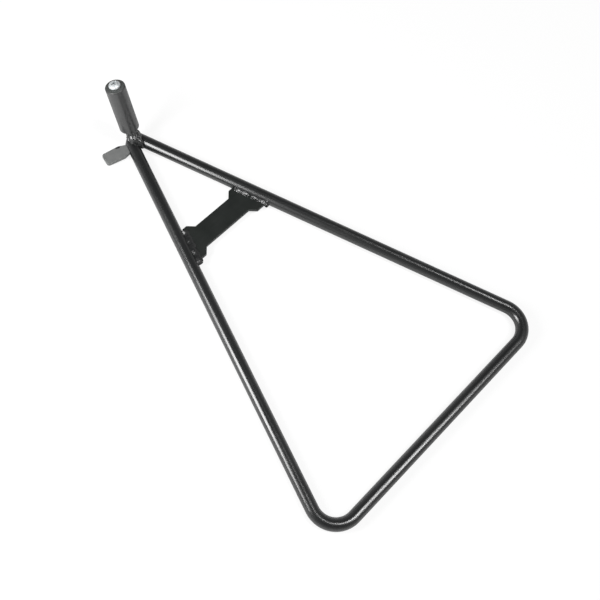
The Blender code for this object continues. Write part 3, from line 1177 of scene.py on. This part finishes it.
@dataclass(frozen=True)
class CrossPlate:
    """The flat plate between the legs, narrow at its waist, and the four welds that hold it."""

    triangle: Triangle
    thickness: float = 3.0 * MM
    centre: float = 225.9 * MM
    waist_width: float = 17.8 * MM
    end_width: float = 27.4 * MM
    upper_shoulder: float = 4.4 * MM
    lower_shoulder: float = 9.1 * MM
    corner_radius: float = 0.8 * MM
    edge_radius: float = 0.35 * MM
    gap: float = 0.3 * MM
    left_weld: Fillet = Fillet(
        bar_toe=math.radians(38.0),
        face_toe=9.2 * MM,
        bulge=0.7 * MM,
        crater=0.10 * MM,
        end_climb=math.radians(6.0),
        end_crater=0.45 * MM,
        flatness=2.0,
        pitch=2.7 * MM,
    )
    right_weld: Fillet = Fillet(
        bar_toe=math.radians(22.0),
        face_toe=7.5 * MM,
        bulge=0.45 * MM,
        crater=0.50 * MM,
        end_climb=math.radians(34.0),
        end_crater=0.0,
        flatness=4.0,
        pitch=2.3 * MM,
    )
    weld_past_upper_edge: float = 0.5 * MM
    weld_past_lower_edge: float = 0.6 * MM
    seed_of_side: float = 1.7
    seed_of_face: float = 0.9

    def outline(self) -> Array:
        """The plate's outline: half of its corners, the other half mirrored, all of them rounded.

        Returns:
            The outline's points.
        """
        plan = self.triangle
        waist, end = self.waist_width / 2, self.end_width / 2
        flare = end - waist
        lower_reach = plan.inner_x(self.centre - end, self.gap)
        upper_reach = plan.inner_x(self.centre + end, self.gap)
        lower = lower_reach - self.lower_shoulder
        upper = upper_reach - self.upper_shoulder
        right = [
            (lower - flare, self.centre - waist),
            (lower, self.centre - end),
            (lower_reach, self.centre - end),
            (upper_reach, self.centre + end),
            (upper, self.centre + end),
            (upper - flare, self.centre + waist),
        ]
        corners = right + [(-x, y) for x, y in reversed(right)]
        return round_corners([(x, y, self.corner_radius) for x, y in corners])

    def weld_loops(self, weld: Fillet, side: Side, face: Face) -> Array:
        """The loops of one weld, from the plate's lower edge to its upper one.

        Args:
            weld: its form.
            side: the leg that it is on.
            face: the plate's face that it is on.

        Returns:
            The loops, in the plane of the bar.
        """
        low = self.centre - self.end_width / 2 - self.weld_past_lower_edge
        high = self.centre + self.end_width / 2 + self.weld_past_upper_edge
        start, end = (np.array([side.value * self.triangle.leg_x(y), y, 0.0]) for y in (low, high))
        along = (end - start) / float(np.linalg.norm(end - start))
        inward = side.value * np.array([-along[1], along[0], 0.0])
        up = np.array([0.0, 0.0, float(face.value)])
        seed = self.seed_of_side * side.value + self.seed_of_face * face.value
        return weld.straight(start, end, inward, up, seed)

    def build(self, coat: SatinCoat, gloss: GlossCoat, gloss_material: bpy.types.Material) -> None:
        """Makes the plate and its welds and puts them in their places.

        Args:
            coat: the plate's finish.
            gloss: the welds' finish, for its slot.
            gloss_material: the material of that finish.
        """
        plan = self.triangle
        loops = slab(self.outline(), self.thickness, self.edge_radius)
        plate = skin("flat_plate", plan.place(loops), Ends.CAPPED)
        fit(plate, coat.material(), coat.slot, Body.STAND, "cross_plate")
        for side, weld in ((Side.LEFT, self.left_weld), (Side.RIGHT, self.right_weld)):
            for face in Face:
                word = f"{side.name.lower()}_{face.name.lower()}"
                loops = self.weld_loops(weld, side, face)
                bead = skin(f"bead_{word}", plan.place(loops), Ends.CAPPED, weld.sharp_degrees)
                fit(bead, gloss_material, gloss.slot, Body.STAND, f"plate_weld_{word}")


# The tab beside the apex


@dataclass(frozen=True)
class StopTab:
    """The flat grey tongue on the left leg, wider past its shoulders, and the bead under it."""

    triangle: Triangle
    thickness: float = 3.0 * MM
    root_width: float = 8.2 * MM
    shoulder_width: float = 11.4 * MM
    tip_width: float = 10.4 * MM
    shoulder_reach: float = 5.5 * MM
    tab_reach: float = 20.2 * MM
    below_stub: float = 3.8 * MM
    turn: float = math.radians(12.6)
    root_radius: float = 0.3 * MM
    shoulder_radius: float = 1.5 * MM
    tip_radius: float = 2.2 * MM
    edge_radius: float = 0.5 * MM
    # Where the painted shade sits, by the shoulder.
    shade_patch_reach: float = 5.9 * MM
    shade_patch_inset: float = 0.6 * MM
    bead: Bead = Bead(radius=1.6 * MM)
    bead_seed: float = 4.1
    bead_off_leg: float = 0.6 * MM

    def root(self) -> Array:
        """Where the tab's middle line starts, on the left leg's centre line."""
        y = self.triangle.stub_place - self.below_stub
        return np.array([-self.triangle.leg_x(y), y, 0.0])

    def turned_out(self, points: Array) -> Array:
        """Points of the tab's own frame, which is x away from the leg, in the plane of the bar."""
        spin = np.array(Matrix.Rotation(math.pi - self.turn, 3, "Z"))
        return points @ spin.T + self.root()

    def outline(self) -> Array:
        """The tab's outline from its root inside the leg to its tip, with its corners rounded.

        Returns:
            The outline's points.
        """
        side, small = self.triangle.bar_radius, self.root_radius
        root, shoulder, tip = self.root_width / 2, self.shoulder_width / 2, self.tip_width / 2
        lower = [
            (side / 2, -root, small),
            (side + small, -root, small),
            (side + self.shoulder_reach, -shoulder, self.shoulder_radius),
            (side + self.tab_reach, -tip, self.tip_radius),
        ]
        return round_corners(lower + [(x, -y, radius) for x, y, radius in reversed(lower)])

    def shade_patch_place(self) -> Point:
        """Where the shade is painted: on the top face, by the shoulder that is further up.

        Returns:
            The place in the world.
        """
        along = self.triangle.bar_radius + self.shade_patch_reach
        aside = self.shade_patch_inset - self.shoulder_width / 2
        at = np.array([along, aside, self.thickness / 2])
        return tuple(self.triangle.place(self.turned_out(at)).tolist())

    def bead_loops(self) -> Array:
        """The loops of the bead, on the ground side of the leg.

        Returns:
            The loops, in the plane of the bar.
        """
        half = self.root_width / 2
        away = self.triangle.bar_radius + self.bead_off_leg
        lift = -(self.thickness / 2 + self.bead_off_leg)
        shift = away * math.tan(self.triangle.half_apex - self.turn)
        ends = np.array([[-away, shift - half, 0.0], [-away, shift + half, 0.0]])
        spin = np.array(Matrix.Rotation(-self.triangle.half_apex, 3, "Z"))
        start, end = ends @ spin.T + self.root() + [0, 0, lift]
        return self.bead.straight(start, end, self.bead_seed)

    def build(self, gloss: GlossCoat, gloss_material: bpy.types.Material) -> None:
        """Makes the tab and its bead and puts them in their places.

        Args:
            gloss: the bead's finish, for its slot.
            gloss_material: the material of that finish.
        """
        plan = self.triangle
        coat = TabCoat(self.shade_patch_place(), -self.turn)
        loops = self.turned_out(slab(self.outline(), self.thickness, self.edge_radius))
        tab = skin("grey_tab", plan.place(loops), Ends.CAPPED)
        fit(tab, coat.material(), coat.slot, Body.STAND, "stop_tab")
        bead = skin("bead_tab", plan.place(self.bead_loops()), Ends.CAPPED, self.bead.sharp_degrees)
        fit(bead, gloss_material, gloss.slot, Body.STAND, "tab_weld")


# The peg at the apex


@dataclass(frozen=True)
class Hump:
    """A place where the peg's weld reaches further out: its turn, its width in turn, its reach."""

    turn: float
    width: float
    reach: float


@dataclass(frozen=True)
class PegWeld:
    """The weld round the stub's foot, which fills the crotch and climbs the stub's near side.

    Its turn is counted round the peg, with zero to the right and up the plane next.
    """

    peg: PegAxis
    rise: tuple[float, float] = (math.radians(-170.0), math.radians(-144.0))
    fall: tuple[float, float] = (math.radians(5.0), math.radians(45.0))
    rim_reach: float = 0.45 * MM
    rim_climb: float = 0.35 * MM
    side_reach: float = 0.8 * MM
    side_climb: float = 4.0 * MM
    crotch: Hump = Hump(math.radians(-88.0), math.radians(22.0), 5.0 * MM)
    right_leg: Hump = Hump(math.radians(-16.0), math.radians(32.0), 1.1 * MM)
    ridge: Hump = Hump(math.radians(-148.0), math.radians(17.0), 0.9 * MM)
    end_turn: float = math.radians(165.0)
    end_tightness: float = 7.0
    end_reach: float = 1.0 * MM
    end_climb: float = 1.1 * MM
    lumps: tuple[Wave, ...] = (Wave(5, 0.7, 0.20 * MM), Wave(9, 2.0, 0.14 * MM))
    lump_climb: float = 1.5
    pitch: float = 2.4 * MM
    pitch_reach: float = 1.2 * MM
    lag: float = 0.5
    stray: Wave = Wave(3, height=0.25)
    sharpness: float = 0.6
    ripple: float = 0.11
    slow: tuple[Wave, ...] = (Wave(4, height=0.06, slant=5.0), Wave(7, 1.3, 0.06, slant=-8.0))
    fullness: float = 0.8
    drop_turn: float = math.radians(-124.0)
    drop_width: float = math.radians(18.0)
    drop_share: float = 0.52
    drop_share_width: float = 0.28
    drop_height: float = 0.42
    calm: float = 0.95
    calm_width: float = math.radians(26.0)
    pull: float = 0.30
    bar_sunk: float = 0.15 * MM
    stub_sunk: float = 0.05 * MM
    least_toe: float = 2.4 * MM
    stub_depth: float = 1.2 * MM
    root_share: float = 0.35
    root_depth: float = 3.2 * MM
    toe_depth: float = 1.6 * MM
    rows: int = 320
    columns: int = 30
    sharp_degrees: float = 60.0

    def size(self, turn: Array) -> tuple[Array, Array]:
        """How far the weld reaches out from the stub and how high it climbs it.

        Both are a thin rim all round plus a plateau from the left leg's side to the right one's.
        Bell curves of the turn make it reach further into the crotch and down the right leg,
        stand out in a ridge at its left end and cover the left leg's end beside the stub.

        Args:
            turn: the angle round the peg.

        Returns:
            The reach and the climb.
        """
        wrapped = within_half_turn(turn)
        side = ramp(wrapped, *self.rise) * (1 - ramp(wrapped, *self.fall))
        end = np.exp(self.end_tightness * (np.cos(turn - self.end_turn) - 1))
        lumps = side * sum(wave.at(turn) for wave in self.lumps)
        humps = (self.crotch, self.right_leg, self.ridge)
        further = sum(hump.reach * bell(wrapped, hump.turn, hump.width) for hump in humps)
        reach = self.rim_reach + self.side_reach * side + further + self.end_reach * end + lumps
        climb = self.rim_climb + self.side_climb * side + self.end_climb * end + self.lump_climb * lumps
        return reach, climb

    def swell(self, turn: Array, share: Array) -> Array:
        """How far the weld's skin stands out, as a share of its size there.

        Low crescents, as on the other welds, cross a few slow sines in both directions. Near the
        ridge, bell curves calm them and raise one smooth drop in their place.

        Args:
            turn: the angle round the peg, as a column.
            share: how far from the toe on the bars to the toe on the stub, as a row.

        Returns:
            The share for each point.
        """
        wrapped = within_half_turn(turn)
        laps = round(FULL_TURN * (self.peg.triangle.stub_radius + self.pitch_reach) / self.pitch)
        phase = laps * turn / FULL_TURN + self.lag * (2 * share - 1) ** 2 + self.stray.at(turn)
        crest = self.ripple * np.abs(np.sin(math.pi * phase)) ** self.sharpness
        slow = sum(wave.at(turn, across=share) for wave in self.slow)
        body = (4 * share * (1 - share)) ** self.fullness
        calm = 1 - self.calm * bell(wrapped, self.drop_turn, self.calm_width)
        drop = self.drop_height * bell(wrapped, self.drop_turn, self.drop_width)
        return body * calm * (crest + slow) + drop * bell(share, self.drop_share, self.drop_share_width)

    def loops(self) -> Array:
        """The weld's loops.

        Each section is a quadratic curve from a toe on the bars to a toe on the stub, pulled
        outwards at its middle and swollen by its lumps. The toe on the bars follows their round
        tops: the root of the radius squared less the squared distance from the leg's centre
        line. The hidden side goes back through the metal.

        Returns:
            The loops, in the plane of the bar.
        """
        plan, axis = self.peg.triangle, self.peg.slope
        turn = even_turn(self.rows)[:, None]
        share = np.linspace(0.0, 1.0, self.columns)[None, :]
        reach, climb = self.size(turn)
        ray = np.concatenate([np.cos(turn), np.sin(turn)], axis=1)
        flat = ray * (plan.stub_radius + reach) + [0.0, plan.stub_place]
        beside = np.abs(np.abs(flat[:, :1]) - plan.leg_x(flat[:, 1:])) * math.cos(plan.half_apex)
        top = np.sqrt(np.maximum(plan.bar_radius**2 - beside**2, 0.0)) - self.bar_sunk
        toe = np.concatenate([flat, np.maximum(top, self.least_toe)], axis=1)
        out = np.concatenate([ray, -ray[:, 1:] * math.tan(self.peg.lean)], axis=1)
        out /= np.linalg.norm(out, axis=1, keepdims=True)
        stub = np.array([0.0, plan.stub_place, 0.0]) + out * (plan.stub_radius - self.stub_sunk)
        high = stub + axis * (plan.bar_radius / math.cos(self.peg.lean) + climb)
        away = (out + axis) / np.linalg.norm(out + axis, axis=1, keepdims=True)
        size = np.minimum(reach, climb)
        middle = (toe + high) / 2 + away * self.pull * size
        along = share[..., None]
        curve = (1 - along) ** 2 * toe[:, None] + 2 * along * (1 - along) * middle[:, None]
        curve += along**2 * high[:, None] + away[:, None] * (size * self.swell(turn, share))[..., None]
        inside = high - out * self.stub_depth
        root = flat * (1 - self.root_share) + [0.0, plan.stub_place * self.root_share]
        deep = np.concatenate([root, toe[:, 2:] - self.root_depth], axis=1)
        low = toe - [0.0, 0.0, self.toe_depth]
        return np.concatenate([curve, np.stack([inside, deep, low], axis=1)], axis=1)


@dataclass(frozen=True)
class EndScrew:
    """The screw in the sleeve's end: a plain shank, and a low dome with a cross recess."""

    shank_radius: float = 2.5 * MM
    shank_chamfer: float = 0.6 * MM
    shank_flare: float = 0.1 * MM
    grip: float = 8.0 * MM
    head_radius: float = 4.4 * MM
    head_height: float = 3.2 * MM
    head_rim: float = 1.1 * MM
    head_edge: float = 0.3 * MM
    rolled_share: float = 0.07
    recess_span: float = 6.4 * MM
    recess_width: float = 1.6 * MM
    recess_depth: float = 2.0 * MM
    recess_taper: float = 0.55
    recess_corner: float = 0.2 * MM
    recess_edge: float = 0.15 * MM
    shank_middle: float = 0.04 * MM
    head_middle: float = 0.01
    columns: int = 256
    rows: int = 64

    def recess(self, x: Array, y: Array) -> Array:
        """The height of the cross recess over the bottom of the head.

        Each blade of the driver is a bar whose span and width shrink with its depth. The larger
        of x over the half span and y over the half width says how high its wall is there, and
        the lower of the two blades counts.

        Args:
            x: the distance along one blade.
            y: the distance along the other.

        Returns:
            The height, which is above the head outside the recess.
        """
        floor = self.head_height - self.recess_depth
        slope = 2 * self.recess_depth / (1 - self.recess_taper)
        walls = []
        for along, aside in ((x, y), (y, x)):
            share = np.maximum(np.abs(along) * 2 / self.recess_span, np.abs(aside) * 2 / self.recess_width)
            walls.append(floor + slope * np.maximum(share - self.recess_taper, 0))
        return soft_min(walls[0], walls[1], self.recess_corner)

    def loops(self, depth: float) -> Array:
        """The screw's loops, with the bottom of its head at height zero.

        The shank and the head's side are turned. The dome is part of a sphere, whose radius
        follows from the head's radius and the dome's rise, with its edge rolled down.

        Args:
            depth: how far the wall that the screw holds goes down from its head.

        Returns:
            The loops.
        """
        shank, radius, rim, soft = self.shank_radius, self.head_radius, self.head_rim, self.head_edge
        tip = -(depth + self.grip)
        under = [
            (self.shank_middle, tip),
            (shank - self.shank_chamfer, tip),
            (shank, tip + self.shank_chamfer),
            (shank, -self.shank_flare),
            (shank + self.shank_flare, 0),
            (radius - soft, 0),
        ]
        edge = arc_points((radius - soft, soft), soft, -math.pi / 2, 0.0, count=5)
        body = turned(np.concatenate([under, edge, [(radius, rim - soft)]]), self.columns)
        rise = self.head_height - rim
        crown = (radius * radius + rise * rise) / (2 * rise)
        turn = even_turn(self.columns)
        share = np.linspace(1.0, self.head_middle, self.rows)[:, None]
        x, y = radius * share * np.cos(turn), radius * share * np.sin(turn)
        dome = self.head_height - crown + np.sqrt(crown**2 - (radius * share) ** 2)
        dome = dome - soft * np.clip(1 - (1 - share) / self.rolled_share, 0, 1) ** 2
        height = soft_min(dome + 0 * x, self.recess(x, y), self.recess_edge)
        return np.concatenate([body, np.stack([x, y, height], axis=-1)])


@dataclass(frozen=True)
class AxlePeg:
    """The peg: the welded stub, the sleeve that turns on it, and the screw that keeps it on."""

    peg: PegAxis
    gap: float = 0.3 * MM
    columns: int = 128
    soft_edge: float = 0.25 * MM
    stub_floor_clearance: float = 0.5 * MM
    stub_end_chamfer: float = 0.6 * MM
    stub_middle: float = 0.02
    stub_rows: int = 12
    sleeve_radius: float = 7.65 * MM
    sleeve_length: float = 43.6 * MM
    sleeve_end_wall: float = 4.0 * MM
    sleeve_rows: int = 20
    foot_chamfer: float = 1.1 * MM
    tip_round: float = 1.15 * MM
    bore_chamfer: float = 0.4 * MM
    neck_length: float = 9.6 * MM
    screw: EndScrew = EndScrew()

    @property
    def sleeve_start(self) -> float:
        """How far along the axis the sleeve begins."""
        return self.peg.triangle.bar_radius + self.neck_length

    @property
    def sleeve_end(self) -> float:
        """How far along the axis the sleeve ends."""
        return self.sleeve_start + self.sleeve_length

    def stub_loops(self) -> Array:
        """The stub, turned: a plain pin from near the floor into the sleeve, with a chamfered end.

        Returns:
            The loops, in the peg's own frame.
        """
        plan, lean = self.peg.triangle, self.peg.lean
        radius, chamfer, soft = plan.stub_radius, self.stub_end_chamfer, self.soft_edge
        drop = plan.bar_radius - self.stub_floor_clearance - radius * math.sin(lean)
        low = -drop / math.cos(lean)
        high = self.sleeve_end - self.sleeve_end_wall - self.gap
        middle = radius * self.stub_middle
        foot = arc_points((radius - soft, low + soft), soft, -math.pi / 2, 0.0, count=5)
        shank = line_points(radius, low + 2 * soft, high - chamfer, self.stub_rows)
        bottom = [(middle, low), (radius - 2 * soft, low)]
        top = [(radius - chamfer, high), (middle, high)]
        return turned(np.concatenate([bottom, foot, shank, top]), self.columns)

    def sleeve_loops(self) -> Array:
        """The sleeve, turned: its bore, foot chamfer, side and rounded tip as one closed profile.

        Returns:
            The loops, in the peg's own frame.
        """
        outer, start, end = self.sleeve_radius, self.sleeve_start, self.sleeve_end
        bore = self.peg.triangle.stub_radius + self.gap
        hole = self.screw.shank_radius + self.gap
        wall = end - self.sleeve_end_wall
        chamfer, lip, tip, soft = self.foot_chamfer, self.bore_chamfer, self.tip_round, self.soft_edge
        knee_rise = soft * 0.41
        flat_inset = 1.5 * tip
        inside = [(hole, wall), (bore, wall), (bore, start + lip)]
        foot = [(bore + lip, start), (outer - chamfer, start)]
        knee = arc_points((outer - soft, start + chamfer + knee_rise), soft, -math.pi / 4, 0.0, count=4)
        side = line_points(outer, start + 2 * chamfer, end - 2 * tip, self.sleeve_rows)
        cap = arc_points((outer - tip, end - tip), tip, 0.0, math.pi / 2, count=9)
        top = [(outer - flat_inset, end), (hole + lip, end), (hole, end - lip)]
        return turned(np.concatenate([inside, foot, knee, side, cap, top]), self.columns)

    def screw_loops(self) -> Array:
        """The screw, on the sleeve's end with a gap under its head.

        Returns:
            The loops, in the peg's own frame.
        """
        return self.screw.loops(self.sleeve_end_wall + 2 * self.gap) + [0, 0, self.sleeve_end + self.gap]

    def build(self, gloss: GlossCoat, gloss_material: bpy.types.Material) -> None:
        """Makes the peg's pieces and puts them in their places.

        Args:
            gloss: the weld's finish, for its slot.
            gloss_material: the material of that finish.
        """
        axis, foot = self.peg.direction, self.peg.foot
        steel, zinc = BlackenedSteel(self.peg.lean), BrightZinc()
        plastic = SleevePlastic(tuple(axis), foot.dot(axis) + self.sleeve_end, self.peg.lean)
        stub = skin("turned_stub", self.peg.place(self.stub_loops()), Ends.CAPPED)
        fit(stub, steel.material(), steel.slot, Body.STAND, "axle_stub")
        sleeve = skin("grey_sleeve", self.peg.place(self.sleeve_loops()), Ends.JOINED)
        fit(sleeve, plastic.material(), plastic.slot, Body.SLEEVE, "axle_sleeve")
        screw = skin("pan_head_screw", self.peg.place(self.screw_loops()), Ends.CAPPED)
        fit(screw, zinc.material(), zinc.slot, Body.STAND, "end_screw")
        form = PegWeld(self.peg)
        weld = skin("bead_stub", self.peg.triangle.place(form.loops()), Ends.JOINED, form.sharp_degrees)
        fit(weld, gloss_material, gloss.slot, Body.STAND, "stub_weld")


# Floor, light and camera


@dataclass(frozen=True)
class Lamp:
    """A soft lamp: a glowing rectangle that faces the stand."""

    name: str
    place: Point
    width: float
    height: float
    roll: float
    glow: float

    def build(self, aim: Point) -> None:
        """Makes the lamp and turns it to what it lights.

        Its width is level before it is rolled about its own axis. Its power is the glow of its
        face times the face's area times pi, as a matte face has.

        Args:
            aim: the point that it faces.
        """
        light = bpy.data.lights.new(self.name, "AREA")
        light.shape = "RECTANGLE"
        light.size = self.width
        light.size_y = self.height
        light.energy = self.glow * math.pi * self.width * self.height
        made = linked(self.name, light)
        back = (Vector(self.place) - Vector(aim)).normalized()
        level = Vector((0.0, 0.0, 1.0)).cross(back).normalized()
        across = Matrix.Rotation(self.roll, 3, back) @ level
        turn = Matrix((across, back.cross(across), back)).transposed().to_4x4()
        made.matrix_world = Matrix.Translation(Vector(self.place)) @ turn
        made.visible_camera = False


@dataclass(frozen=True)
class Studio:
    """A white floor, a near lamp on the camera's left, a far one on its right, a pale room."""

    floor_reach: float = 3.0
    floor_colour: Colour = (0.86, 0.86, 0.86)
    floor_glow: float = 1.09
    floor_glow_share: float = 0.75
    ambient: float = 0.13
    room: tuple[tuple[float, float], ...] = (
        (0.0, 0.52),
        (0.35, 0.38),
        (0.6, 0.18),
        (0.8, 0.09),
        (1.0, 0.13),
    )
    aim: Point = (0.0, 0.020, 0.005)
    lamps: tuple[Lamp, ...] = (
        Lamp("left_lamp", (-0.3816, 0.1728, 0.2985), 0.220, 0.303, 0.469, 13.0),
        Lamp("right_lamp", (0.455, -0.849, 1.825), 1.410, 0.250, 1.464, 22.5),
    )

    def floor(self) -> None:
        """The floor: it takes the stand's shadow, and shows part of its light as plain white."""
        reach = self.floor_reach
        corners = [(-reach, -reach, 0), (reach, -reach, 0), (reach, reach, 0), (-reach, reach, 0)]
        mesh = bpy.data.meshes.new("floor")
        mesh.from_pydata(corners, [], [(0, 1, 2, 3)])
        made = linked("floor", mesh)
        material = bpy.data.materials.new("white_floor")
        material.use_nodes = True
        nodes = Nodes(material.node_tree)
        nodes.tree.nodes.clear()
        seen = nodes.node("LightPath").outputs["Is Camera Ray"]
        share = nodes.node("Math", {0: seen, 1: self.floor_glow_share}, operation="MULTIPLY")
        matte = nodes.node("BsdfDiffuse", {"Color": (*self.floor_colour, 1.0)})
        glow = nodes.node("Emission", {"Strength": self.floor_glow})
        mixed = nodes.node("MixShader", {0: share.outputs[0], 1: matte.outputs[0], 2: glow.outputs[0]})
        nodes.node("OutputMaterial", {"Surface": mixed.outputs[0]})
        mesh.materials.append(material)

    def surroundings(self) -> None:
        """The world: white to the camera, and in reflections a room that is darker overhead."""
        world = bpy.data.worlds.new("pale_room")
        bpy.context.scene.world = world
        world.use_nodes = True
        nodes = Nodes(world.node_tree)
        path = nodes.node("LightPath").outputs
        parts = nodes.node("SeparateXYZ", {0: nodes.node("TexCoord").outputs["Generated"]})
        fade = nodes.node("ValToRGB", {0: parts.outputs["Z"]})
        stops = fade.color_ramp.elements
        while len(stops) < len(self.room):
            stops.new(1.0)
        for stop, (height, level) in zip(stops, self.room):
            stop.position = height
            stop.color = (level, level, level, 1.0)
        inputs = {"Factor": path["Is Glossy Ray"], "A": self.ambient, "B": fade.outputs[0]}
        mirrored = nodes.node("Mix", inputs)
        shown = nodes.node("Mix", {"Factor": path["Is Camera Ray"], "A": mirrored.outputs[0], "B": 1.0})
        background = nodes.tree.nodes["Background"]
        background.inputs["Color"].default_value = (1.0, 1.0, 1.0, 1.0)
        nodes.feed(background.inputs["Strength"], shown.outputs[0])

    def build(self) -> None:
        """Makes the floor, the lamps and the surroundings."""
        self.floor()
        self.surroundings()
        for lamp in self.lamps:
            lamp.build(self.aim)
        bpy.context.scene.view_settings.view_transform = "Standard"


@dataclass(frozen=True)
class Viewpoint:
    """The photograph's viewpoint: a camera that looks down on the lying stand from its left."""

    aim: Point = (-0.0009, -0.0317, 0.0)
    distance: float = 0.6779
    azimuth: float = math.radians(-58.96)
    elevation: float = math.radians(67.07)
    roll: float = math.radians(14.11)
    lens: float = 53.95
    sensor: float = 36.0

    def build(self) -> None:
        """Makes the camera.

        It stands back from the aim along the azimuth and elevation, and its right-hand side is
        turned up from the level by the roll.
        """
        level, rise = math.cos(self.elevation), math.sin(self.elevation)
        back = Vector((math.sin(self.azimuth) * level, -math.cos(self.azimuth) * level, rise))
        right = Vector((math.cos(self.azimuth), math.sin(self.azimuth), 0.0))
        right = Matrix.Rotation(self.roll, 3, back) @ right
        camera = bpy.data.cameras.new("viewpoint")
        camera.sensor_fit = "HORIZONTAL"
        camera.sensor_width = self.sensor
        camera.lens = self.lens
        made = linked("viewpoint", camera)
        turn = Matrix((right, back.cross(right), back)).transposed().to_4x4()
        made.matrix_world = Matrix.Translation(Vector(self.aim) + back * self.distance) @ turn
        bpy.context.scene.camera = made


def main() -> None:
    """Builds the stand's pieces, then the studio."""
    logging.basicConfig(level=logging.INFO, format="%(name)s: %(message)s")
    triangle = Triangle()
    peg = PegAxis(triangle)
    gloss = GlossCoat()
    gloss_material = gloss.material()
    Viewpoint().build()
    FrameBar(triangle, peg).build(gloss, gloss_material)
    CrossPlate(triangle).build(SatinCoat(), gloss, gloss_material)
    StopTab(triangle).build(gloss, gloss_material)
    AxlePeg(peg).build(gloss, gloss_material)
    Studio().build()


if __name__ == "__main__":
    main()
